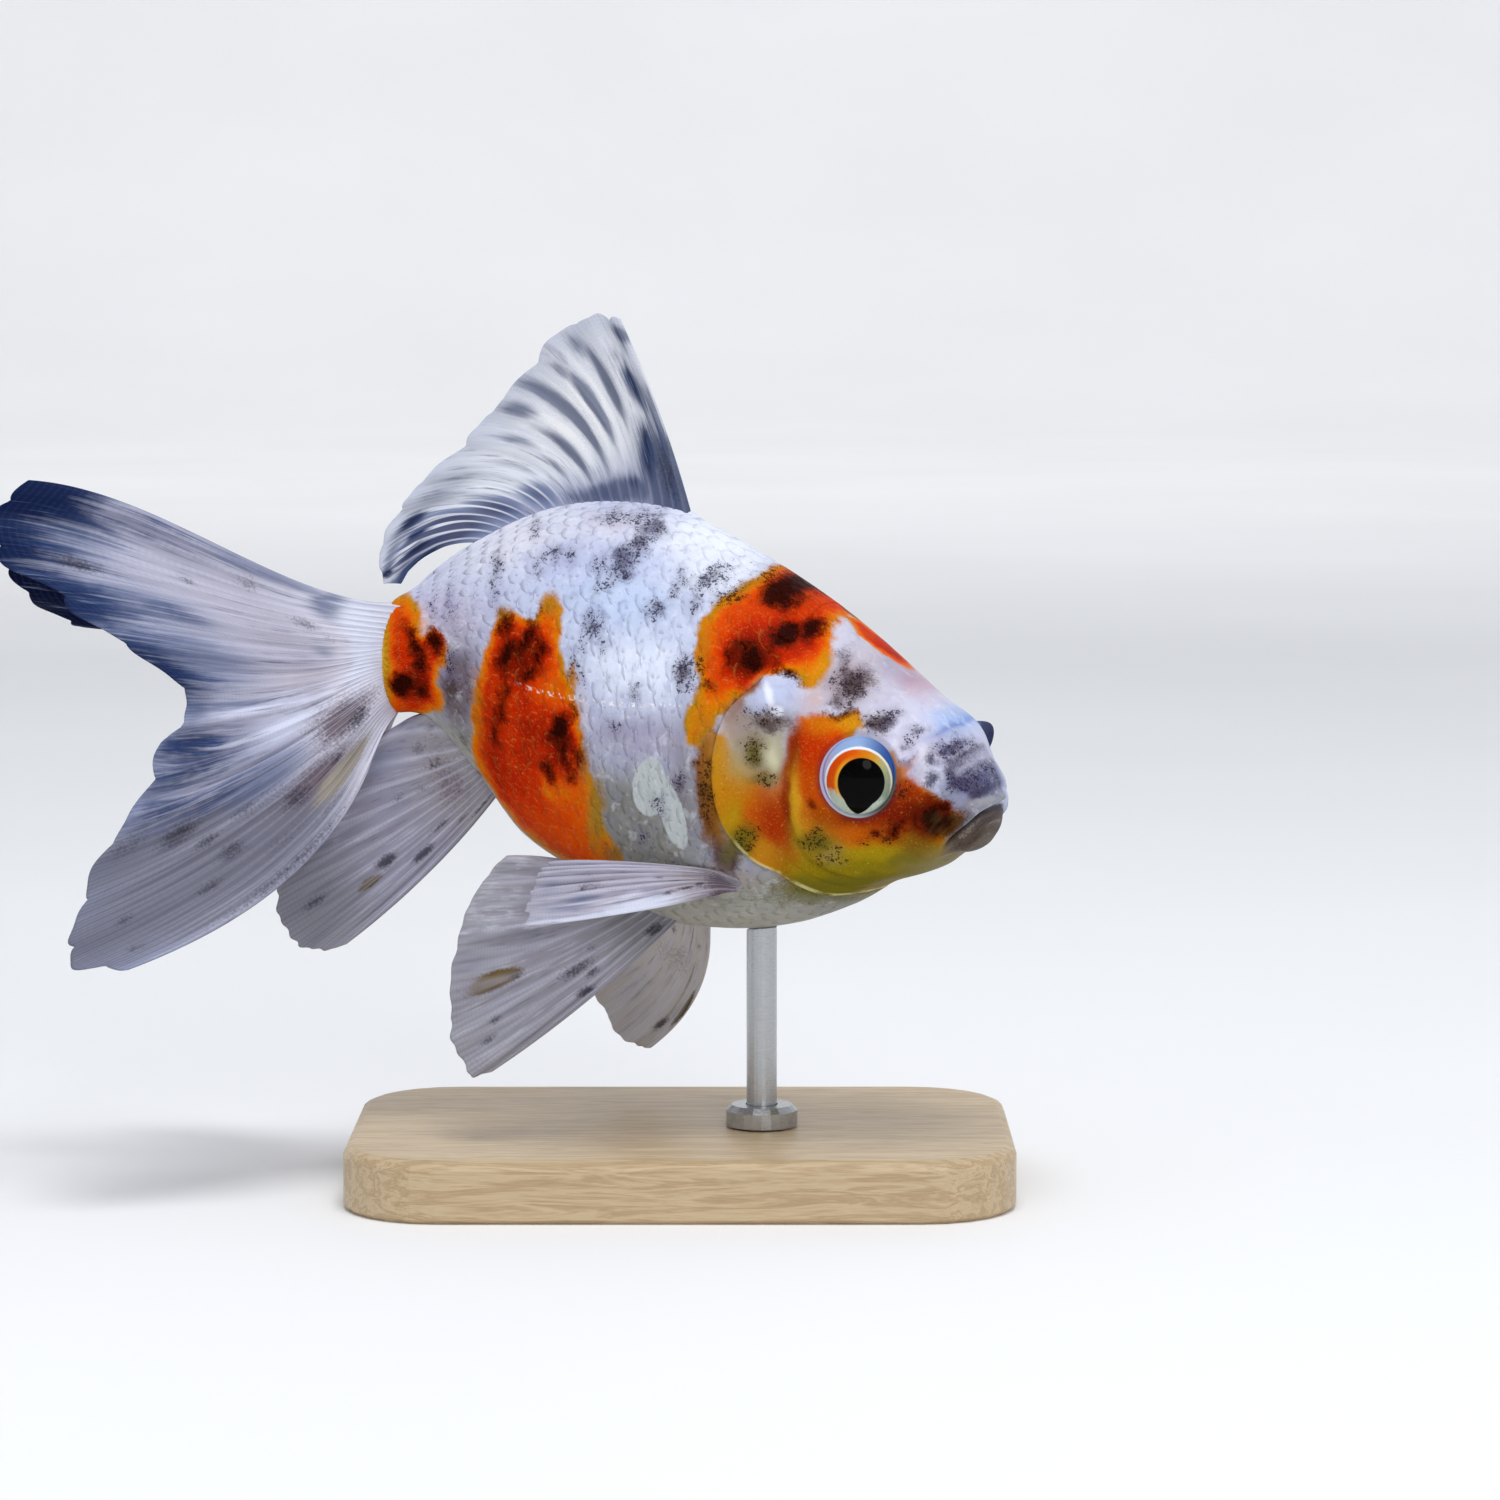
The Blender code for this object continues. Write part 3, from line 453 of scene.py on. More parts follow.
# Each row below is an ellipse: station, height, half length, half height and tilt in degrees.
# The first marks have rough outlines and the second plain ones.
UNEVEN_MARKS = {
    "ink": (
        (16.6, 87.6, 2.1, 2.2, -30), (18.2, 86, 1.2, 1, -35), (19.3, 81.8, 1.9, 2, 0),
        (22.3, 82.3, 1.3, 1.5, 30), (15.8, 78.6, 1.5, 2.3, 28), (14.4, 80.4, 1.2, 0.7, 0),
        (12.4, 78.6, 0.7, 1.4, -10), (20.9, 76.3, 1.7, 0.6, -32), (18.6, 79.4, 0.6, 0.5, 0),
        (9.4, 74.8, 1, 0.6, 0), (28.5, 71.3, 1.6, 0.6, 0), (39.8, 57.2, 0.9, 2, -18),
        (41.4, 58.4, 1.3, 0.8, -20), (38.2, 56.2, 0.4, 0.9, 0), (35.8, 55, 0.8, 0.8, 0),
        (33.3, 54.4, 0.45, 0.5, 0), (25.6, 58.6, 0.35, 0.35, 0), (36.4, 56.4, 0.6, 0.5, 0),
        (-24.2, 82.4, 0.9, 1.8, -8), (-20.9, 80.6, 0.8, 3.2, -22), (-19, 78.2, 0.9, 2, -10),
        (-20.2, 76, 0.9, 2, -40), (-24, 78.4, 0.9, 2.4, -28), (-24.2, 74.4, 0.35, 2.4, 0),
        (-24.9, 70.8, 0.7, 3.2, -12), (-26, 66.6, 0.35, 1.6, -8), (-15.6, 68, 1.6, 2.2, -20),
        (-15, 65, 0.8, 2.4, 12), (-14, 62, 0.7, 1.4, 10), (-17.4, 61.6, 0.8, 1.6, 24),
        (-13.4, 70.2, 0.4, 0.8, 0), (-12.6, 64, 0.6, 1.6, 0), (-19.4, 84.6, 0.8, 0.5, 30),
        (-40, 73, 1.8, 1.9, 0), (-38.2, 79, 0.9, 2.6, 22), (-37.2, 76.2, 0.8, 1.2, 30),
        (-34.9, 79.6, 0.9, 2.3, 26), (-37, 72.4, 1, 1.2, 0),
    ),
    "specks": (
        (-6.4, 91, 1.7, 3.6, -34), (-4.2, 93.2, 1.4, 3.2, -22), (-2.4, 95.8, 1.4, 1.1, 0),
        (-9, 97.4, 2.2, 0.8, 0), (-4.6, 97.2, 2, 1.2, 0), (3, 88.6, 0.8, 1.9, -14),
        (5.9, 86.4, 0.8, 1.7, 14), (7.6, 89.6, 2.6, 1.3, 40), (-10.2, 83, 1.7, 2, 0),
        (-11.4, 81.4, 0.6, 2.2, -30), (-8.4, 79.8, 1, 1, 0), (-0.4, 85, 1.5, 1.3, 0),
        (-2.9, 73.6, 1.5, 1.2, 0), (-5.7, 68.6, 1.4, 0.8, 0), (5.4, 61.2, 0.8, 1.4, 0),
        (-1.7, 52.8, 0.9, 1, 0), (-10, 91.2, 1.2, 1.1, 0), (-10, 88.8, 0.5, 1.2, -10),
        (-25.8, 90.4, 0.8, 1.7, -10), (-25.8, 86.4, 0.4, 1.3, -5), (-17.2, 92.8, 0.9, 1.2, 0),
        (-15, 92.2, 0.8, 0.8, 0), (-19.8, 90.4, 0.6, 1.4, -20), (-20.8, 95.6, 0.8, 1, 0),
        (-35.6, 84.8, 0.5, 1, 20), (-33, 85.2, 0.4, 1.2, 0), (-12.4, 75.6, 0.9, 2.4, 0),
        (-32.6, 76.4, 0.9, 1.6, 0), (5.8, 76.4, 1.8, 2.6, 0), (8.2, 77.2, 0.9, 1.8, 0),
        (10.8, 87, 1.9, 1.4, 30), (9.8, 60, 1.2, 5, 4), (17.4, 65.8, 1.6, 1.8, 0), (19.2, 62, 1.6, 1, 0),
        (18, 70.6, 2.6, 1, 0), (16.2, 53.6, 1.7, 2.2, -40), (25.4, 53.6, 1.9, 1.5, 0),
        (26.8, 51, 1.6, 1.2, 0), (28.4, 75, 1.7, 2.6, 24), (33, 70, 1.7, 1.6, 0), (36.4, 60.8, 1, 1, 0),
        (43.2, 61.8, 1.9, 1.7, 0), (40.8, 66, 1.4, 1, -40), (33.4, 53.6, 1.6, 0.8, 10),
        (35.8, 55.6, 1.4, 0.8, 30), (36.8, 67.6, 0.8, 1, 0), (1.6, 58, 1.2, 1, 0), (2, 56.8, 0.8, 0.8, 0),
        (15.6, 89, 2.6, 1.2, -30), (-13.6, 77.4, 0.6, 1.6, -10),
    ),
    "smoke": (
        (28.9, 74.8, 1.6, 1.9, 28), (27.4, 77.6, 0.7, 2.2, 20), (30.2, 76, 1.6, 0.5, -50),
        (27.8, 72.6, 1.2, 0.7, 0), (-6.6, 92, 1.8, 2.2, -34), (-5.2, 90.2, 1.8, 1, 50),
        (-4, 94.2, 1.1, 1.9, -20), (-26, 90.4, 0.4, 1.8, -8), (7.2, 89.4, 1.8, 0.8, 40),
        (33, 69.8, 1.7, 1.4, 0), (40.6, 66.2, 0.9, 1.2, -36), (41.6, 64.6, 0.7, 0.7, 0),
        (43, 61.8, 1.5, 1.4, -39), (41.8, 63, 1, 1.2, 0), (39.4, 64.8, 0.6, 0.8, 0),
        (39.8, 62.2, 0.7, 1.1, 0), (39.3, 64.7, 0.6, 0.7, 0), (41, 67, 0.8, 0.6, -40),
        (42.4, 65.2, 0.7, 1.2, -36), (43.6, 63.4, 0.7, 0.9, -30), (37.2, 68.6, 0.5, 0.4, 0),
        (36.4, 65, 0.5, 0.3, 0), (44.4, 60.4, 1, 1, 0), (-32.4, 72.4, 1.1, 2.2, 0), (-31, 65, 0.8, 1.2, 0),
        (-29, 59.6, 1, 1, 0), (5.4, 60.6, 0.9, 1.6, 0), (-2.9, 73.5, 1, 0.9, 0), (19.6, 69.6, 3, 1.2, -8),
        (-2.6, 96.2, 1.8, 1.3, 0), (-9.4, 97.6, 1, 0.5, 0), (-17.2, 92.8, 0.5, 0.7, 0),
        (-4.6, 94, 1, 1.8, -20), (0.2, 85, 0.9, 0.9, 0), (5.4, 76.6, 1.2, 2, 0), (5.9, 86.2, 0.6, 1.2, 14),
        (3, 88.6, 0.5, 1.2, -14), (-10.4, 82.6, 1, 1.2, 0),
    ),
    "rust": (
        (10.2, 60.6, 1.9, 7.4, 3), (11, 73, 1.9, 0.6, 10), (11.6, 54.6, 1, 2.6, -14),
        (16, 74.2, 1.4, 0.6, 45),
    ),
    "olive": (
        (27, 44.6, 10, 1.6, 2), (13, 51, 1.1, 3, -30), (17.4, 65.4, 1.4, 1.6, 0), (15.8, 53, 1.5, 2.6, -35),
        (25.4, 53.2, 1.8, 1.4, 0), (30, 46.8, 9, 1.2, 9), (24, 46.8, 4, 1.2, -4), (19, 61.8, 1.4, 0.8, 0),
        (35.6, 50.4, 2.6, 1, 28),
    ),
}
PLAIN_MARKS = {
    "pearl": ((0.1, 60.2, 3, 4.3, -12), (4, 56.3, 2.1, 5.2, 16)),
    # painted highlights: near-white on the gill cover's top and at the tail stem's rear
    "shine": ((19, 73.6, 0.45, 1.7, 22), (20.4, 71.4, 0.8, 0.6, -20), (-44.2, 78, 0.8, 5, 0)),
    "lip": ((42, 55.6, 2.2, 1.1, 46), (40.2, 55.6, 1.2, 1.8, 0)),
    "spot": (
        (39.3, 64.7, 0.6, 0.65, 0), (39.8, 62.2, 0.6, 0.8, 0), (37.2, 68.6, 0.4, 0.4, 0),
        (36.2, 66.4, 0.3, 0.3, 0), (33.2, 69.7, 1.5, 1.1, 0), (41.2, 66, 0.8, 0.7, -30),
        (43.6, 61.6, 1.3, 0.9, -30), (42, 64.2, 0.5, 0.5, 0), (28.8, 75.6, 1.1, 1.3, 24),
        (44.6, 60, 0.7, 0.7, 0),
    ),
}
# painted shade: these rows darken the orange low on the face, where it turns under
UNDER_SHADE = ((39.6, 56.0, 3.0, 4.0, 0, 0.8),)    # where the orange is dull, with an amount
# How red the orange turns, with an amount; negative is yellower.
RED = (
    (14.8, 78.8, 3, 3, 0, 0.34), (18.4, 81.4, 5.2, 4.4, 0, 0.14), (9, 81, 1.8, 4.6, 0, -0.12),
    (11, 86.4, 3.2, 1.2, 30, -0.14), (24.2, 76.9, 2.4, 2.2, 0, -0.26), (22, 80.4, 2.2, 2, 0, 0.08),
    (16.5, 76.6, 3.5, 1.6, 0, 0.06), (8.4, 69.8, 2.8, 3.6, 0, -0.26), (12.8, 72.8, 3.4, 1.3, 14, -0.2),
    (10.8, 75.2, 2, 1.4, 0, -0.06), (19.9, 56.8, 2.5, 4.8, 8, 0.3), (20.9, 61, 1.2, 2, 0, 0.1),
    (15.2, 57, 1.5, 3.2, 0, -0.12), (12.8, 63.4, 1.2, 3.6, 4, 0.02), (16.4, 62.6, 1.6, 1.6, 0, -0.16),
    (23.2, 66.4, 1.2, 4.2, -6, 0.3), (25.2, 64, 1.8, 3.8, 0, 0.2), (24, 55, 14, 9, 0, -0.14),
    (27.4, 69.4, 2.6, 1.4, 0, 0.02), (30.2, 70, 1.2, 1.2, 0, -0.14), (26, 60, 1.6, 2.6, 0, 0.2),
    (25.6, 57, 1.5, 2, 0, 0.06), (23.2, 58.2, 0.55, 4.6, 3, -0.34), (29.8, 55.8, 3.6, 1.3, -14, 0.22),
    (36.4, 58.6, 3.4, 2.6, -20, 0.46), (36.8, 62.2, 1.6, 1, -45, -0.05), (32, 53.8, 2.6, 1.2, 0, 0.02),
    (25.4, 53.4, 2.4, 2, 0, -0.28), (31, 49.2, 7.6, 2.6, 4, -0.56), (37.4, 51.6, 3, 2.2, 40, -0.4),
    (23, 46, 8, 2.6, 0, -0.46), (14.2, 52, 1.9, 4.2, -30, -0.52), (41, 57.4, 2, 2, 0, 0.2),
    (-20, 68, 3.6, 7, 8, 0.14), (-16.8, 72.6, 2.8, 2.6, 0, -0.12), (-26.6, 67, 1.6, 8.6, 4, 0.12),
    (-23.6, 60, 5, 8, 0, 0.1), (-17.6, 74.4, 3, 3, 0, -0.08), (-15.8, 58.6, 2, 2.2, 20, -0.14),
    (-18.2, 59.2, 0.5, 2.2, 24, -0.26), (-12.4, 58, 1.8, 6, 0, -0.1), (-9.8, 54, 1.4, 4.4, 0, -0.26),
    (-15, 50.4, 8, 2.6, -20, -0.04), (-8, 49.4, 2.2, 2, 0, -0.02), (-17, 84.2, 1.5, 2.8, -8, -0.16),
    (-18.2, 79.4, 1.6, 2.4, 0, 0.18), (-22.2, 78, 3.2, 3.6, 0, 0.34), (-15.4, 77.4, 1.1, 2.2, 0, -0.1),
    (-15.2, 66.4, 2.2, 4.2, 0, 0.36), (-43.2, 76.8, 1.7, 9, 0, -0.5), (-41.2, 79, 1.3, 4.8, 0, 0.12),
    (-39.4, 78.4, 1.3, 4.2, 0, 0.06), (-37.8, 73.4, 2.2, 3, 0, 0.36), (-34.8, 79.4, 1.6, 2.6, 0, 0.3),
    (-42.2, 71, 1.4, 2.2, 0, 0), (-39.4, 84.4, 2, 1.4, 0, -0.16), (30, 78, 4, 4, 0, 0.16),
)
GROUND = "c3c9e2"
# What colours the pale ground turns where, with an amount and a tone, laid on in turn. Besides the fish's own
# tones, some rows are painted light and shade: blue-white on the back where the light from above falls, grey
# on the belly where it is shaded.
TONES = (
    # painted shade: the grey rows at (-4, 54) and (12, 42) on the belly
    (-46, 77, 2.4, 10, 0, 1.6, "e4e4f2"), (-4, 54, 15, 9, 0, 1.5, "858480"),
    (12, 42, 24, 6.6, 0, 1.6, "8a8b81"), (-2, 67.4, 10, 3.4, 0, 1.2, "a5a1b8"),
    # painted light: the blue-white rows at (-2, 77), (-6, 86.4), (6, 92.4) and (-24, 94.4) on the back
    (-2, 77, 8.5, 4.4, 0, 1.3, "dfe6f8"), (-6, 86.4, 11, 4.6, 0, 1.1, "c2d0ee"),
    (6, 92.4, 9, 4.4, -25, 1.4, "e8ecf9"), (-16, 90.6, 5, 2.6, 0, 0.7, "bcc2e4"),
    (-24, 94.4, 10, 3.6, 22, 1.2, "dcdce9"), (-34, 83, 7, 4.4, 0, 1.2, "c4bed6"),
    (-31.6, 72.6, 3.8, 7.4, 0, 1.4, "73666e"), (-32.4, 63.6, 5, 4, 0, 1.3, "82807a"),
    (5.8, 65.4, 2.6, 5, 0, 0.9, "9a95a4"), (6.6, 58.6, 2.6, 6.4, 0, 0.8, "817b7d"),
    (13.4, 47.4, 3.4, 1.8, 0, 0.9, "a39692"), (-2, 91.4, 7, 2.4, 0, 0.6, "bcc4e4"),
    (-9, 96.6, 6, 1.8, 0, 0.8, "d5d0de"), (30, 77, 9, 6, -41, 1, "d6d0de"),
    # the pale blue row at (19.6, 73.6) is partly the gill cover's own tone and partly painted sheen round its
    # highlight
    (28.2, 75.4, 3, 4.4, 20, 0.9, "9a8890"), (19.6, 73.6, 4, 2.6, 0, 1.2, "c0c6e4"),
    (19.6, 69.6, 4.4, 2.2, 0, 1.3, "a29ea4"), (18, 65.4, 3, 3.6, 0, 1.4, "9c8d57"),
    (20.6, 64.6, 0.9, 2.6, 0, 1, "c9c09a"), (15.2, 69.6, 1.6, 2, 0, 0.8, "b5a9a4"),
    (37, 67, 7, 4.4, -40, 1.2, "d0cde2"), (44, 61, 2.8, 2.8, 0, 1.3, "60627e"),
    (33, 76.4, 3, 1.2, -41, 1, "8c89a6"), (45.2, 58.6, 1.4, 0.8, 30, 0.9, "a3a7a4"),
    # painted reflection: the two blue rows at (39.6, 69.6) and (39.6, 68.6), a blue glint along the brow
    (39.6, 69.6, 2.2, 1.4, -41, 1, "9fb9e8"), (39.6, 68.6, 0.8, 1.6, -41, 0.6, "4a68b0"),
    (42.6, 64.6, 1.6, 1.6, 0, 0.7, "9a94a8"), (38, 65, 1.2, 1.4, 0, 0.6, "e4e0ea"),
    (24.8, 73.2, 1.6, 1.8, 0, 1, "cbb3b3"), (-37.8, 82.2, 1.3, 1.6, 0, 1, "dba88c"),
    (37.8, 61.6, 1.4, 1.4, 0, 0.7, "c0b0ba"), (42.4, 51.8, 5.4, 2.8, 42, 1.5, "7c7062"),
    (43.8, 57.6, 1.8, 1.4, 30, 1, "8d8794"), (-12.6, 71, 1.6, 2.6, 0, 0.8, "c6a8a6"),
)
# The same, laid over the orange patches too.
OVER = (
    (10.2, 61.4, 1.4, 6.2, 3, 1.4, "8f5a26"), (10.4, 55.6, 1.2, 2.8, -12, 1.1, "77491f"),
    # painted shade: the dark maroon row at (12.4, 50.4), round the pectoral fin's root below the gill cover
    (9.8, 60, 0.9, 1.8, 0, 0.9, "3c2012"), (12.4, 50.4, 2, 2.4, -20, 1.3, "4a2f33"),
    (10, 47.8, 2.6, 1.4, 0, 0.8, "7c6a6c"), (11, 65.6, 0.8, 2.4, 0, 0.8, "a06428"),
    (12.8, 62.8, 1.9, 5.2, 4, 1.2, "c28a16"), (15.8, 60, 3.4, 2.8, 0, 1.2, "bc7e0e"),
    (19.6, 59.6, 2.4, 2, 0, 1, "b8640c"), (17, 56.8, 3.4, 2.8, 0, 1, "bc520a"),
    (20.4, 55.2, 2.2, 4.2, 6, 1.1, "a23205"), (14.2, 56.4, 1.6, 3, -16, 1.1, "b08a12"),
    (15.6, 53, 1.8, 2, -40, 1.1, "75701c"), (18.6, 51.4, 2.8, 1.6, -34, 1.1, "b8801a"),
    (21.4, 49.6, 1.8, 2.2, 0, 1, "9c6410"), (15.2, 63.6, 2, 2.2, 0, 1, "b09048"),
    (17, 66.6, 2.6, 2.8, 0, 1.2, "9a917a"), (20, 65.8, 1.8, 3.6, 0, 1.1, "a9a28a"),
    (20.4, 64.6, 0.8, 2.2, 8, 1, "ccc8a8"), (17.8, 65.4, 0.9, 1.9, 10, 0.9, "554424"),
    (19.2, 62.2, 2.4, 0.9, 8, 0.8, "8c7434"), (14.8, 69.6, 2, 1.8, 0, 0.9, "a08a80"),
    # the pale blue row at (19.4, 73.2) is partly the gill cover's own tone and partly painted sheen round its
    # highlight
    (18.6, 69.6, 3, 1.4, 0, 0.9, "9a9296"), (19.4, 73.2, 2.6, 1.8, 0, 0.6, "c4cdea"),
    # painted shadow: the brownish mauve row at (14.4, 71.8), cast by the top of the gill cover
    (14.4, 71.8, 1.8, 1, 35, 0.8, "8f6c60"), (25.6, 65.6, 2, 4.4, 0, 1.1, "bc3002"),
    (23, 65.2, 0.9, 4.4, -4, 1.2, "801e06"), (26.4, 69.4, 2, 1.2, 0, 0.8, "d07208"),
    (29.6, 70, 1.6, 1.4, 0, 0.9, "d08a10"), (25.6, 60.4, 1.8, 3.2, 0, 1.1, "c04c06"),
    (26.8, 56.6, 2.4, 2.2, 0, 1.1, "a24804"), (30.6, 54.2, 3.8, 1.8, 0, 1.1, "c05c0a"),
    (31.4, 56.4, 3, 1, 0, 1, "8a2c06"), (35.6, 57.6, 2.8, 2.2, 0, 1.1, "7a1c06"),
    (34.8, 54.2, 2.2, 1.4, 0, 1, "94420a"), (37, 60.8, 1.6, 2, -30, 0.9, "a83a08"),
    (36.4, 63.2, 0.9, 1.9, -24, 0.9, "ba6c38"), (23.5, 58.4, 0.8, 4.8, 2, 1.2, "c8941e"),
    (22.2, 57.4, 0.7, 4.6, 2, 1, "7c2206"), (23.8, 53.6, 1, 2.4, 10, 1, "b8921e"),
    (26, 52.6, 2.6, 2.6, 0, 1.1, "7f7222"), (27.6, 50.6, 1.4, 1.2, 20, 0.9, "b0aa80"),
    (32.4, 51, 6, 1.5, 4, 1.2, "a08a10"), (30.6, 48.8, 7.6, 1.6, 5, 1.2, "86760e"),
    (24.4, 48.4, 2.8, 2, 0, 1.1, "8a760e"), (27, 46.2, 7, 1.5, 4, 1.2, "6c6214"),
    (37.4, 52.4, 2.2, 2, 36, 1, "7a5410"), (37, 49.2, 3.2, 1.5, 30, 1, "80764a"),
    (40.4, 57.2, 2.2, 2.6, -10, 1.3, "200c05"), (38.4, 59.6, 1.6, 1, -40, 0.8, "8c3006"),
    (38.6, 55, 1.4, 2, 0, 0.8, "5c2a08"), (25, 55.6, 0.8, 2.2, 0, 0.7, "c07a18"),
    (16.8, 74.6, 2.2, 0.7, 40, 0.7, "7e3a18"), (-9.8, 56, 1.7, 6.4, -8, 0.85, "9c7628"),
    (-7.2, 49.6, 2.2, 2, 0, 0.8, "8c6c34"), (-11.6, 63.6, 1.2, 4, -6, 0.7, "7e5230"),
    (-17.4, 85.6, 1.6, 2, -8, 0.8, "b0741c"), (-24.6, 84, 1.4, 1.4, 0, 0.8, "9c661c"),
    (-28.4, 70, 1, 8, 3, 0.6, "a85c10"), (-13.6, 75.8, 0.9, 1.8, 0, 0.8, "b4741c"),
    (-43.3, 77, 1, 9, 0, 1, "e8ae24"), (8.4, 70, 2.2, 2.8, 0, 0.5, "bc780e"),
    (8.4, 80, 1.4, 5, 0, 0.6, "b87414"), (12.6, 88.4, 3, 1, 30, 0.7, "a8721c"),
    (24.8, 77, 1.4, 2, 0, 0.6, "dc8a10"), (34, 74.6, 4, 0.9, -41, 0.5, "cba0ae"),
    (36.8, 64.2, 0.7, 0.35, -30, 0.9, "7e7a90"),
)
LATERAL_LINE = ((-24.0, 74.6), (-19.5, 73.3), (-14.0, 72.5), (-8.7, 72.0), (0.0, 71.8), (7.0, 72.2),
                (12.0, 74.0))


def outline_depth(outlines, s, z):
    """Millimetres inside the nearest outline; negative outside."""
    best = np.full(np.shape(s), OUTSIDE)
    for ring in outlines:
        away = np.full(np.shape(s), 99.0)
        inside = np.zeros(np.shape(s), bool)
        for (s0, z0), (s1, z1) in zip(ring, ring[1:] + ring[:1]):
            ds = s1 - s0
            dz = z1 - z0
            t = np.clip(((s - s0) * ds + (z - z0) * dz) / (ds * ds + dz * dz), 0, 1)
            away = np.minimum(away, np.hypot(s - s0 - t * ds, z - z0 - t * dz))
            if dz != 0:
                inside ^= ((z0 > z) != (z1 > z)) & (s < s0 + ds * (z - z0) / dz)
        best = np.maximum(best, np.where(inside, away, -away))
    return best


def ellipse_reach(s, z, cs, cz, a, b, tilt):
    """Distance from an ellipse's middle, 1 on its outline."""
    t = math.radians(tilt)
    du = (s - cs) * math.cos(t) + (z - cz) * math.sin(t)
    dv = -(s - cs) * math.sin(t) + (z - cz) * math.cos(t)
    return np.hypot(du / a, dv / b)


def ellipse_depth(table, s, z):
    """Millimetres inside the nearest ellipse of a table; negative outside."""
    best = np.full(np.shape(s), -4.0)
    for row in table:
        best = np.maximum(best, (1 - ellipse_reach(s, z, *row)) * min(row[2:4]))
    return best


def soft_sum(table, s, z):
    """Sum of smooth hills, each of its own height."""
    return sum(high * np.exp(-ellipse_reach(s, z, *row) ** 2) for *row, high in table)


def laid_tones(table, start, s, z):
    """Each tone of a table laid in turn over the start; the fourth part is how much is laid."""
    total = np.zeros(np.shape(s) + (4,)) + start
    for *row, tone in table:
        share = np.minimum(soft_sum((row,), s, z), 1.0)[..., None]
        total = total * (1 - share) + np.array(srgb(tone)) * share
    return total


def wobble(a, b, shift):
    """Small uneven shift, in millimetres, that roughens every outline."""
    slow = np.sin(0.9 * a + 1.3 * b + shift) + np.sin(1.7 * b - 0.8 * a + 2 * shift)
    fast = np.sin(3.1 * a - 1.9 * b + shift) + np.sin(2.3 * b + 3.7 * a - shift)
    return 0.2 * slow + 0.07 * fast


def eye_marks(p, side):
    """How far places lie from the nearer eye, ahead of it and above it."""
    marks = {"eye_reach": np.full(side.shape, NONE_NEAR), "eye_ahead": np.zeros(side.shape)}
    for turn in (1, -1):
        r, deep = eye_distance(p, turn)
        near = (np.sign(side) == turn) & (deep > -3) & (r < NONE_NEAR)
        ahead = (p - eye_centre(turn)) @ eye_axes(turn)[0] / EYE_AHEAD
        marks["eye_reach"] = np.where(near, r, marks["eye_reach"])
        marks["eye_ahead"] = np.where(near, ahead, marks["eye_ahead"])
    marks["eye_rise"] = (p[..., 2] - EYE_HEIGHT) / EYE_UPRIGHT
    return marks


def body_marks(x, angle):
    """Named values that the skin's and scales' colours are worked out from."""
    p = bare_body(x, angle)
    height = p[..., 2]
    side = np.sin(angle)
    deg = degrees_round(angle)
    # the left side carries the same markings, shifted and bent
    left = np.clip(-side * 1.3, 0.0, 1.0)
    s = x + left * (2.4 * np.sin(height * 0.13) + 1.2)
    z = height + left * (2.6 * np.sin(x * 0.16 + 0.8))
    uneven = (s + wobble(s, z, 0.0), z + wobble(z, s, 2.0))
    half = (s + 0.5 * wobble(s, z, 0.0), z + 0.5 * wobble(z, s, 2.0))
    out = smooth_at(HALF_WIDTH, x) * np.sign(side) * np.abs(side) ** smooth_at(BACK_RIDGE, x)
    crown = np.where(deg < 60, outline_depth(CROWN, x, out), OUTSIDE)
    cheek = np.minimum(outline_depth(CHEEK, *half), x - smooth_at(GILL_EDGE, deg) + 0.2)
    marks = {"station": x, "around": deg, "height": height}
    marks["fire"] = np.maximum(np.maximum(outline_depth(FIRE, *half), crown), cheek)
    for key, table in PLAIN_MARKS.items():
        marks[key] = ellipse_depth(table, s, z)
    for key, table in UNEVEN_MARKS.items():
        marks[key] = ellipse_depth(table, *uneven)
    marks["dim"] = soft_sum(UNDER_SHADE, s, z)
    marks["red"] = soft_sum(RED, *uneven)
    marks["lateral"] = np.abs(z - smooth_at(LATERAL_LINE, s))
    marks["mouth"] = np.where(x > 38.5, mouth_gap(x, height), NONE_NEAR)
    marks["cover"] = x - smooth_at(GILL_EDGE, deg)
    marks["flap"] = bump(distance_to(p, NOSTRIL_STATION - LEFT_NOSTRIL_BACK, -NOSTRIL_ANGLE - 5.0), 2.5)
    marks["ground"] = laid_tones(TONES, srgb(GROUND), *uneven)
    over = laid_tones(OVER, 0.0, *half)
    over[..., :3] /= np.maximum(over[..., 3:], 1e-6)
    marks["over"] = over
    return marks | eye_marks(p, side)


# --- material helpers --------------------------------------------------------------
def srgb(text):
    """Linear colour from six hex digits."""
    out = []
    for i in (0, 2, 4):
        c = int(text[i:i + 2], 16) / 255
        out.append(c / 12.92 if c <= 0.04045 else ((c + 0.055) / 1.055) ** 2.4)
    return (*out, 1.0)


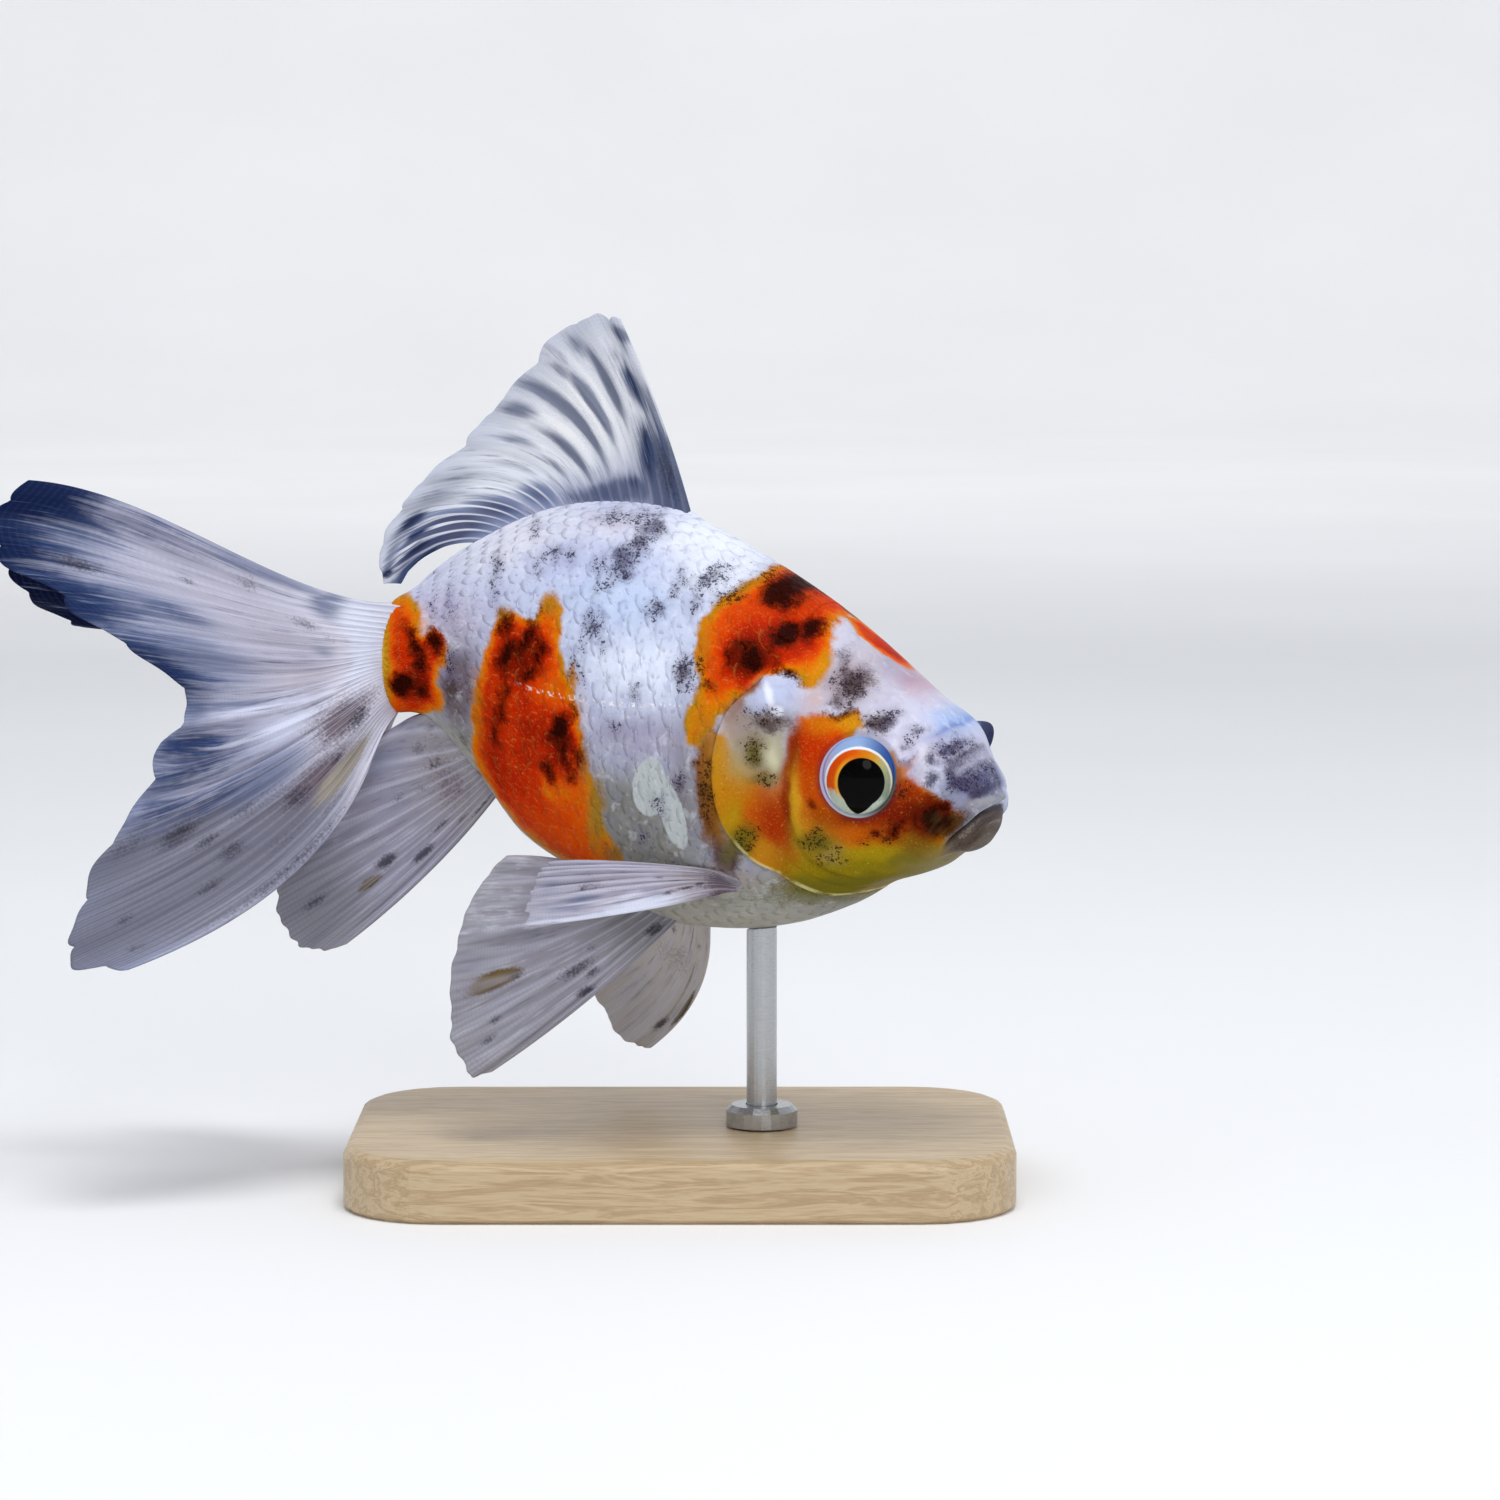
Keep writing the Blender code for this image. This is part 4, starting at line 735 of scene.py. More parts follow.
class Paint:
    """Small helper that builds one material's node tree."""

    def __init__(self, name):
        self.material = bpy.data.materials.new(name)
        self.material.use_nodes = True
        self.tree = self.material.node_tree
        self.tree.nodes.clear()
        self.shader = self.add("ShaderNodeBsdfPrincipled")
        out = self.add("ShaderNodeOutputMaterial")
        self.tree.links.new(self.shader.outputs[0], out.inputs[0])
        coord = self.add("ShaderNodeTexCoord")
        scale = self.add("ShaderNodeVectorMath", operation="SCALE")
        self.tree.links.new(coord.outputs["Object"], scale.inputs[0])
        scale.inputs["Scale"].default_value = 1 / MM
        self.place = scale.outputs[0]            # in millimetres

    def add(self, kind, **settings):
        node = self.tree.nodes.new(kind)
        for key, value in settings.items():
            setattr(node, key, value)
        return node

    def put(self, socket, value):
        """Link a socket's value, or set it."""
        if isinstance(value, bpy.types.NodeSocket):
            self.tree.links.new(value, socket)
        else:
            socket.default_value = value

    def math(self, operation, a, b=0.0, c=0.0, clamp=False):
        node = self.add("ShaderNodeMath", operation=operation, use_clamp=clamp)
        for socket, value in zip(node.inputs, (a, b, c)):
            self.put(socket, value)
        return node.outputs[0]

    def times(self, a, b):
        return self.math("MULTIPLY", a, b)

    def most(self, first, *others):
        """The greatest of some values."""
        for value in others:
            first = self.math("MAXIMUM", first, value)
        return first

    def sum(self, base, *parts, clamp=False):
        """A base with (value, factor) parts added to it."""
        for value, factor in parts:
            base = self.math("MULTIPLY_ADD", value, factor, base, clamp)
        return base

    def step(self, value, low, high):
        """Smooth step of a value from low to high."""
        node = self.add("ShaderNodeMapRange", interpolation_type="SMOOTHSTEP")
        self.put(node.inputs["Value"], value)
        self.put(node.inputs["From Min"], low)
        self.put(node.inputs["From Max"], high)
        return node.outputs[0]

    def window(self, value, start, full, fade, end):
        """Smooth rise of a value from start to full, and its fall from fade to end."""
        return self.times(self.step(value, start, full), self.step(value, end, fade))

    def mark(self, name):
        return self.add("ShaderNodeAttribute", attribute_name=name).outputs["Fac"]

    def vector(self, x, y, z=0.0):
        node = self.add("ShaderNodeCombineXYZ")
        for socket, value in zip(node.inputs, (x, y, z)):
            self.put(socket, value)
        return node.outputs[0]

    def stretched(self, *scale):
        """The place with each axis scaled, for grain that runs one way."""
        node = self.add("ShaderNodeMapping")
        self.put(node.inputs["Vector"], self.place)
        node.inputs["Scale"].default_value = scale
        return node.outputs[0]

    def noise(self, scale, detail=2.0, rough=0.6, place=None, distortion=0.0):
        """Noise about zero, roughly -0.5 to 0.5, with features of 1/scale millimetres."""
        node = self.add("ShaderNodeTexNoise")
        self.put(node.inputs["Vector"], self.place if place is None else place)
        node.inputs["Scale"].default_value = scale
        node.inputs["Detail"].default_value = detail
        node.inputs["Roughness"].default_value = rough
        node.inputs["Distortion"].default_value = distortion
        return self.math("SUBTRACT", node.outputs["Fac"], 0.5)

    def mix(self, share, a, b, blend="MIX"):
        node = self.add("ShaderNodeMix", data_type="RGBA", blend_type=blend)
        self.put(node.inputs[0], share)
        self.put(node.inputs[6], srgb(a) if isinstance(a, str) else a)
        self.put(node.inputs[7], srgb(b) if isinstance(b, str) else b)
        return node.outputs[2]

    def lay(self, colour, tone, share, strength=1.0, blend="MIX"):
        """A tone laid over a colour, at most with the given strength."""
        return self.mix(self.times(share, strength), colour, tone, blend)

    def ramp(self, value, *stops):
        """Colour from a value through (position, hex) stops."""
        node = self.add("ShaderNodeValToRGB")
        band = node.color_ramp
        while len(band.elements) < len(stops):
            band.elements.new(0.5)
        for element, (where, colour) in zip(band.elements, stops):
            element.position = where
            element.color = srgb(colour)
        self.put(node.inputs[0], value)
        return node.outputs[0]

    def finish(self, colour, rough, bump=None, height=0.05, **levels):
        """Set the shader; bump is a height in parts of the given millimetres."""
        self.put(self.shader.inputs["Base Color"], colour)
        self.put(self.shader.inputs["Roughness"], rough)
        if bump is not None:
            node = self.add("ShaderNodeBump")
            node.inputs["Distance"].default_value = height * MM
            self.put(node.inputs["Height"], bump)
            self.put(self.shader.inputs["Normal"], node.outputs[0])
        for key, value in levels.items():
            self.put(self.shader.inputs[key.replace("_", " ")], value)
        return self.material


# --- skin and scale colours -----------------------------------------------------------
class SkinPaint(Paint):
    """Calico colours: the marks made uneven by shared noise, and a method for each kind of marking."""

    def __init__(self, name):
        super().__init__(name)
        self.wave = self.noise(0.55, 3.0, 0.55)
        self.grain = self.noise(2.8, 3.0)
        self.fine = self.noise(5.0)
        self.station = self.mark("station")
        self.height = self.mark("height")
        self.over = self.add("ShaderNodeAttribute", attribute_name="over").outputs
        self.edge = self.uneven("fire", 0.6, 1.5)
        self.fire = self.step(self.edge, -0.5, 0.5)
        self.rust = self.step(self.uneven("rust", 0.8, 1.6), -0.8, 0.5)
        self.pearl = self.step(self.mark("pearl"), -0.12, 0.12)

    def uneven(self, name, grain, wave):
        """A mark made uneven by the two noises."""
        return self.sum(self.mark(name), (self.grain, grain), (self.wave, wave))

    def ground(self):
        """Pale ground with clouds and mottles, a grey belly that is painted shade, and rusty streaks."""
        shade = self.sum(0.0, (self.wave, 0.5), (self.noise(0.22, 3.0, 0.5), 0.8))
        mottle = self.noise(0.42, 3.0, 0.65, distortion=0.6)
        belly = self.times(self.step(self.mark("around"), 125.0, 160.0), self.step(self.station, 28.0, 16.0))
        rust_tone = self.sum(0.5, (self.grain, 1.3))
        rust_tone = self.ramp(rust_tone, (0.2, "341a10"), (0.5, "7a4a20"), (0.85, "9c6c34"))
        colour = self.add("ShaderNodeAttribute", attribute_name="ground").outputs["Color"]
        colour = self.lay(colour, "e4e8f8", self.step(shade, 0.0, 0.4), 0.30)
        colour = self.lay(colour, "7f80a0", self.step(shade, 0.0, -0.4), 0.45)
        colour = self.lay(colour, "8e92be", self.step(mottle, 0.03, 0.22), 0.35)
        colour = self.lay(colour, "eef2fc", self.step(mottle, -0.04, -0.22), 0.30)
        # painted shade: the underside behind the throat is greyed
        colour = self.lay(colour, "b4b4ae", belly, 0.8)
        return self.lay(colour, rust_tone, self.rust, 0.9)

    def patches(self, colour, scaly):
        """Orange patches: a yellow rim, orange, then red inside, with the scales' edges lighter."""
        heat = self.sum(0.26, (self.step(self.edge, -0.2, 2.0), 0.34), (self.mark("red"), 1.0))
        heat = self.sum(heat, (self.grain, 0.12), (self.wave, 0.20))
        blaze = self.ramp(heat, (0.0, "90740e"), (0.14, "b0800c"), (0.28, "c8800a"), (0.42, "dc7004"),
                          (0.56, "da4802"), (0.70, "c02601"), (0.84, "881201"), (1.0, "4c0901"))
        if scaly:
            blaze = self.lay(blaze, "f08a40", self.step(self.mark("rim"), 0.75, 1.0), 0.25)
        # painted shade: the orange multiplied darker low on the face
        blaze = self.lay(blaze, "c09a66", self.mark("dim"), blend="MULTIPLY")
        return self.mix(self.fire, colour, blaze)

    def overlays(self, colour):
        """The laid-on tones, lighter and duller grains of the orange, olive shades, painted highlights and
        pearl.
        """
        alpha = self.over["Alpha"]
        cover = self.step(self.sum(alpha, (self.grain, 0.5), (self.wave, 0.5)), 0.1, 0.8)
        colour = self.lay(colour, self.over["Color"], self.times(cover, self.step(alpha, 0.02, 0.2)), 0.9)
        bright = self.sum(0.0, (self.fine, 0.8), (self.grain, 1.2))
        lit = self.times(self.step(bright, 0.05, 0.5), self.fire)
        colour = self.lay(colour, "ffc870", lit, 0.30, "SCREEN")
        dull = self.times(self.step(self.sum(bright, (self.wave, 0.6)), -0.05, -0.55), self.fire)
        colour = self.lay(colour, "906448", dull, 0.5, "MULTIPLY")
        colour = self.lay(colour, "66601c", self.step(self.uneven("olive", 3.0, 0.0), -0.6, 0.9), 0.6)
        # painted highlight: near-white on the gill cover's top and at the tail stem's rear
        colour = self.lay(colour, "f2f4ff", self.step(self.uneven("shine", 0.0, 0.6), -0.4, 0.3), 0.9)
        return self.lay(colour, self.mix(self.step(self.fine, -0.1, 0.3), "b8bebf", "c4cbcb"), self.pearl)

    def darks(self, colour):
        """Smoke, spots, specks and ink, browner on the temple and on orange."""
        brow = self.step(self.sum(self.station, (self.wave, 8.0)), 33.0, 37.0)
        haze = self.mix(self.step(self.height, 80.0, 77.0), "2a2640", self.mix(brow, "4a3834", "302c3e"))
        strength = self.sum(0.84, (self.step(self.height, 80.0, 84.0), -0.14))
        colour = self.lay(colour, haze, self.step(self.uneven("smoke", 1.8, 1.0), -0.45, 0.85), strength)
        temple = self.window(self.station, 23.0, 26.0, 32.0, 36.0)
        spot = self.step(self.uneven("spot", 0.9, 0.0), -0.4, 0.35)
        colour = self.lay(colour, self.mix(temple, "46405a", "4e4040"), spot, 0.6)
        dense = self.step(self.uneven("specks", 0.0, 2.6), -1.2, 0.5)
        laid = self.step(self.over["Alpha"], 0.3, 0.8)
        warm = self.most(self.fire, self.rust, laid, self.times(temple, 0.7))
        dusk = self.mix(warm, "5b5474", self.mix(1.0, colour, "b89a60", "MULTIPLY"))
        colour = self.lay(colour, dusk, dense, 0.30)
        specks = self.sum(0.0, (self.noise(3.0, 2.0, 0.7), 0.85), (self.noise(1.2), 0.5), (dense, 0.25))
        colour = self.lay(colour, self.mix(warm, "2f2a44", "2a1c10"), self.step(specks, 0.26, 0.30), 0.85)
        stain = self.uneven("ink", 1.7, 1.2)
        colour = self.lay(colour, "641403", self.times(self.step(stain, -0.7, 0.1), self.fire), 0.7)
        black = self.mix(self.step(self.fine, -0.25, 0.25), "0a0201", "3a0c03")
        return self.lay(colour, self.mix(self.fire, "2c2434", black), self.step(stain, -0.2, 0.7), 0.985)

    def lateral_line(self, colour):
        """Pale dashes along the side."""
        near = self.step(self.mark("lateral"), 0.42, 0.16)
        dash = self.step(self.math("SINE", self.times(self.station, 3.6)), -0.7, 0.1)
        share = self.times(self.times(near, dash), self.window(self.station, -24.0, -18.0, 5.0, 9.0))
        return self.lay(colour, "fdf8f6", share, 0.85)

    def mouth(self, colour):
        """Brown in front of the cheek, a streaked lower lip and chin, and painted shade along the line where
        the lips meet.
        """
        gap = self.mark("mouth")
        streak = self.noise(1.0, 3.0, place=self.vector(self.times(gap, 1.7), self.times(self.station, 0.45)))
        brown = self.mix(self.step(streak, -0.1, 0.15), "160805", "3c2c16")
        colour = self.lay(colour, brown, self.step(self.uneven("lip", 1.2, 0.0), -0.7, 0.5), 0.85)
        corner = self.sum(self.station, (self.grain, 2.0), (self.wave, 2.0))
        jaw = self.times(self.step(gap, 0.15, -0.25), self.step(corner, 38.6, 42.6))
        stripe = self.sum(streak, (self.grain, 0.6))
        chin = self.mix(self.step(gap, -1.3, -2.6), "4e423a", "7f766a")
        chin = self.lay(chin, "33261f", self.step(stripe, 0.0, 0.2), 0.8)
        chin = self.lay(chin, "9c9084", self.step(stripe, -0.05, -0.3), 0.6)
        colour = self.lay(colour, chin, jaw, 0.9)
        # painted shade: a near-black line in the slit between the lips
        line = self.step(self.sum(self.math("ABSOLUTE", gap), (self.grain, 0.25)), 0.30, 0.06)
        line = self.times(line, self.window(self.station, 40.0, 41.6, 45.2, 45.75))
        return self.lay(colour, "170d0a", line, 0.85)

    def margins(self, colour):
        """Pale margin low on the gill cover, the eye's shadow and ring, and the left nasal flap."""
        edge = self.step(self.math("ABSOLUTE", self.math("SUBTRACT", self.mark("cover"), 0.35)), 0.5, 0.15)
        low = self.times(self.step(self.height, 55.0, 51.0), self.step(self.wave, -0.2, 0.1))
        colour = self.lay(colour, "cfc98c", self.times(edge, low), 0.75)
        reach = self.mark("eye_reach")
        shadow = self.step(self.sum(reach, (self.wave, 0.5)), LID + 1.4, LID + 0.5)
        colour = self.lay(colour, "3b2434", shadow, 0.4)
        # the ring's tone is partly painted light and shade: paler on top, darker in front and below
        ring = eye_rim_tone(self, self.mark("eye_ahead"), self.mark("eye_rise"))
        colour = self.lay(colour, ring, self.step(reach, LID + 0.42, LID + 0.25))
        return self.lay(colour, "2a2e50", self.step(self.mark("flap"), 0.25, 0.5), 0.94)


def skin_material(name, scaly):
    m = SkinPaint(name)
    colour = m.patches(m.ground(), scaly)
    for marking in (m.overlays, m.darks, m.lateral_line, m.mouth, m.margins):
        colour = marking(colour)
    rough = m.sum(0.4, (m.pearl, -0.1), (m.grain, 0.16))
    return m.finish(colour, rough, m.sum(m.fine, (m.grain, 0.5)), 0.03, Specular_IOR_Level=MATT)


# --- skin ----------------------------------------------------------------------
SKIN_COLS = 400
TRUNK_ROWS = 170
HEAD_ROWS = 210
TRUNK_SPREAD = 0.9              # powers that set how the rows crowd toward the tail and the snout
HEAD_SPREAD = 1.25
REAR_OPEN = 0.02                # how far the first and last rows stop short of the body's ends
FRONT_OPEN = 0.012
EDGE_GAP = 0.001                # half the step between the rows on each side of the gill edge
END_PLACE = 0.05                # how far in from the ends their own marks are taken
UNWRAP_MARGIN = 0.01


def on_unwrap(u, v):
    """Place on the unwrap, kept off its border."""
    return UNWRAP_MARGIN + np.stack((u, v), -1) * (1 - 2 * UNWRAP_MARGIN)


def skin_unwrap(rows):
    """Place on the unwrap of each corner of the skin's faces."""
    r, c = np.meshgrid(np.arange(rows - 1), np.arange(SKIN_COLS), indexing="ij")
    sides = [on_unwrap((r + a) / rows, (c + b) / SKIN_COLS) for a, b in ((0, 0), (1, 0), (1, 1), (0, 1))]
    turn = np.repeat(np.arange(SKIN_COLS) / SKIN_COLS, 3)
    caps = [on_unwrap(np.full(turn.shape, u), turn) for u in (0.0, 1 - 1 / rows)]
    return np.concatenate((np.stack(sides, -2).reshape(-1, 2), *caps))


def build_skin(material):
    """One closed skin from tail stem to snout, with a row of points on each side of the gill edge."""
    angles = np.linspace(0, 2 * np.pi, SKIN_COLS, endpoint=False) + np.pi
    edge = gill_edge(angles)
    rear = BODY_REAR + REAR_OPEN
    trunk = rear + (edge - EDGE_GAP - rear) * np.linspace(0, 1, TRUNK_ROWS)[:, None] ** TRUNK_SPREAD
    t = 1 - (1 - np.linspace(0, 1, HEAD_ROWS)[:, None]) ** HEAD_SPREAD
    head = edge + EDGE_GAP + (SNOUT_TIP - FRONT_OPEN - edge - EDGE_GAP) * t
    x = np.concatenate((trunk, head))
    a = np.broadcast_to(angles, x.shape)
    p, _ = skin_surface(x, a)
    points = np.concatenate((p.reshape(-1, 3), [p[0].mean(0), p[-1].mean(0)]))
    ends = body_marks(np.array((BODY_REAR + END_PLACE, SNOUT_TIP - END_PLACE)), np.full(2, np.pi / 2))
    marks = {key: np.concatenate((value.reshape(x.size, -1), ends[key].reshape(2, -1)))
             for key, value in body_marks(x, a).items()}
    mesh = new_mesh("skin", points, ring_faces(len(x), SKIN_COLS), marks, skin_unwrap(len(x)))
    place_piece("skin", mesh, material,
                ("head", "gill_cover_R", "gill_cover_L", "trunk", "tail_stem"))


# --- scales ---------------------------------------------------------------------
SCALE_COLS = 26                 # columns from the tail stem to the gill edge
SCALE_ROUND = 46                # scales round the body
SCALE_GRID = 6                  # points along each side of a scale
SCALES_START = 2.6              # how far the scales stay from the body's rear and from the gill edge
SCALES_STOP = 0.6
SCALE_LONG = 1.06               # half length and half width, in parts of the room for one scale
SCALE_WIDE = 1.12
SCALE_ROUNDING = 0.42           # how much a plate's corners are drawn in
SCALE_THICK = 0.16
SCALE_RISE = 0.013              # height of a scale's free edge
SCALE_TILT = 0.008              # how far a scale's front lies under its free edge
SCALE_DOME = 0.003
SCALE_RIM_FALL = 0.002
SCALE_TURN_JITTER = 0.004       # radians
SCALE_RISE_JITTER = 0.001
SCALE_ON_UNWRAP = 0.0015        # half size of a scale on the unwrap
SCALE_SEAT = 0.35               # how far up in the coat the plates lie
PLATE_START = 0.9               # how far a plate's own edge stays from the body's rear and the gill edge
PLATE_STOP = 0.12


def scale_places():
    """Station and angle of each scale's middle, and the length of body that it has."""
    middles = [((i + 0.5) / SCALE_COLS, (k + 0.5 * (i % 2)) / SCALE_ROUND)
               for i in range(SCALE_COLS) for k in range(SCALE_ROUND)]
    share, turn = np.array(middles).T
    turn = turn * 2 * np.pi
    start = BODY_REAR + SCALES_START
    reach = gill_edge(turn) - SCALES_STOP - start
    return start + reach * share, turn, reach / SCALE_COLS


def trunk_on_unwrap(x, angle):
    """Place of the trunk's skin on the unwrap."""
    t = np.clip((x - BODY_REAR) / (gill_edge(angle) - BODY_REAR), 0, 1) ** (1 / TRUNK_SPREAD)
    return on_unwrap(t * (TRUNK_ROWS - 1) / (TRUNK_ROWS + HEAD_ROWS), ((angle - np.pi) / (2 * np.pi)) % 1.0)


def build_scales(material):
    """Overlapping closed plates on the trunk, free edge to the rear."""
    # along is -1 at the free rear edge and 1 in front
    grid = np.linspace(-1, 1, SCALE_GRID)
    along, across = np.meshgrid(grid, grid, indexing="ij")
    rim = np.maximum(np.abs(across), -along)
    middle, turn, room = scale_places()
    count = len(middle)
    turned, raised = RNG.uniform(-1, 1, (2, count))[:, :, None, None]
    long = along * np.sqrt(1 - SCALE_ROUNDING * across ** 2) * SCALE_LONG
    wide = across * np.sqrt(1 - SCALE_ROUNDING * along ** 2) * SCALE_WIDE * np.pi / SCALE_ROUND
    x = middle[:, None, None] + long * room[:, None, None]
    a = turn[:, None, None] + wide + turned * SCALE_TURN_JITTER
    x = np.clip(x, BODY_REAR + PLATE_START, gill_edge(a) - PLATE_STOP)
    lift = SCALE_RISE - SCALE_TILT * (along + 1) / 2 + raised * SCALE_RISE_JITTER
    lift = lift + SCALE_DOME * (1 - across ** 2) - SCALE_RIM_FALL * ramp(rim, 0.75, 1.0)
    top, n = skin_surface(x, a, COAT * SCALE_SEAT + lift)
    both = np.stack((top, top - n * SCALE_THICK), 1)
    plate = slab_faces(SCALE_GRID, SCALE_GRID)
    first = np.arange(count) * 2 * SCALE_GRID ** 2
    faces = (plate + first[:, None, None]).reshape(-1, 4)
    marks = body_marks(x, a) | {"rim": np.broadcast_to(rim, x.shape)}
    marks = {key: np.stack((value, value), 1) for key, value in marks.items()}
    local = np.stack((along, across), -1) * SCALE_ON_UNWRAP
    uv = trunk_on_unwrap(middle, turn)[:, None, None, None] + np.stack((local, local))
    mesh = new_mesh("scales", both.reshape(-1, 3), faces.tolist(), marks, uv.reshape(-1, 2)[faces.ravel()])
    place_piece("scales", mesh, material)
    smooth = np.arange(len(plate)) < 2 * (SCALE_GRID - 1) ** 2
    mesh.polygons.foreach_set("use_smooth", np.tile(smooth, count))


# --- fins -----------------------------------------------------------------------
# Places are (station, out, height) from the first ray to the last, as in the frame's
# solids; bow rows are (share across, then the sag of a ray in the same axes). Each row of
# a layer of paint is (across, out along the ray, half width, half length, amount).
# "pleats" are deeper folds: where they start and end across, how many and how deep.
DORSAL = {
    "root": ((2, 0, 96.2), (-10.2, 0, 97.6), (-23.3, 0, 94.4), (-37, 0, 86.4)),
    "tips": (
        (-8.6, 0, 125.7), (-13.2, -1, 126.3), (-19.9, -2, 121.6), (-26.8, -2.5, 113.2), (-32.2, -2, 107.4),
        (-38.2, -1.5, 101.6), (-41.9, -1, 96.8), (-43.9, -0.5, 91.2), (-43.2, 0, 87.4),
    ),
    "bow": ((0, 0.7, 0, 0.2), (0.4, 2.6, -0.4, 2.2), (0.8, 0.6, -0.2, 1.6), (1, 0, 0, 0.4)),
    "rays": 22, "lobes": 9, "scallop": 0.028, "wave": 0.22, "folds": 9, "root_thick": 2, "dip": 0.05,
    "lean": -0.26, "lean_at": 3, "tones": ("a9aec8", "e6e9f2", "c9cedc"),
    "paint": {
        "slate": (
            (0.06, 0.18, 0.12, 0.26, 1.8), (0.08, 0.62, 0.05, 0.12, 1.4), (0.03, 0.5, 0.03, 0.3, 1),
            (0.03, 0.92, 0.04, 0.05, 1.2), (0.11, 0.78, 0.03, 0.05, 0.6), (0.18, 0.66, 0.018, 0.2, 1.5),
            (0.2, 0.9, 0.018, 0.1, 0.8), (0.25, 0.6, 0.018, 0.24, 1.6), (0.26, 0.84, 0.016, 0.1, 0.9),
            (0.31, 0.6, 0.017, 0.38, 1.5), (0.375, 0.46, 0.02, 0.26, 1.3), (0.37, 0.88, 0.02, 0.12, 0.9),
            (0.44, 0.4, 0.018, 0.14, 0.9), (0.445, 0.72, 0.016, 0.18, 0.9), (0.52, 0.62, 0.018, 0.22, 0.7),
            (0.3, 0.12, 0.25, 0.08, 1.2), (0.66, 0.8, 0.14, 0.2, 0.7), (0.6, 0.8, 0.02, 0.15, 0.8),
            (0.86, 0.85, 0.06, 0.1, 0.9), (0.92, 0.6, 0.06, 0.3, 0.9),
        ),
        "smudge": ((0.06, 0.22, 0.07, 0.18, 0.7),),
        "navy": (
            (0.14, 0.26, 0.03, 0.12, 1.1), (0.06, 0.3, 0.06, 0.3, 0.8), (0.02, 0.38, 0.03, 0.1, 0.8),
            (0.08, 0.62, 0.03, 0.08, 0.6), (0.12, 0.34, 0.03, 0.14, 1.2), (0.09, 0.64, 0.03, 0.12, 1.1),
            (0.04, 0.88, 0.02, 0.1, 0.9), (0.215, 0.16, 0.03, 0.05, 0.9), (0.33, 0.12, 0.05, 0.06, 0.6),
            (0.45, 0.16, 0.05, 0.08, 0.7), (0.765, 0.82, 0.03, 0.1, 1.3), (0.81, 0.7, 0.022, 0.1, 1.3),
            (0.85, 0.6, 0.02, 0.12, 1.2), (0.9, 0.48, 0.022, 0.12, 1.4), (0.95, 0.9, 0.025, 0.12, 1.3),
        ),
        "web": ((0.54, 0.26, 0.08, 0.16, 0.9), (0.66, 0.34, 0.1, 0.24, 1.1), (0.8, 0.5, 0.12, 0.34, 1.6)),
        "clear": ((0.3, 0.62, 0.2, 0.4, 1.3), (0.12, 0.85, 0.1, 0.16, 0.8), (0.5, 0.75, 0.08, 0.24, 0.7)),
    },
}
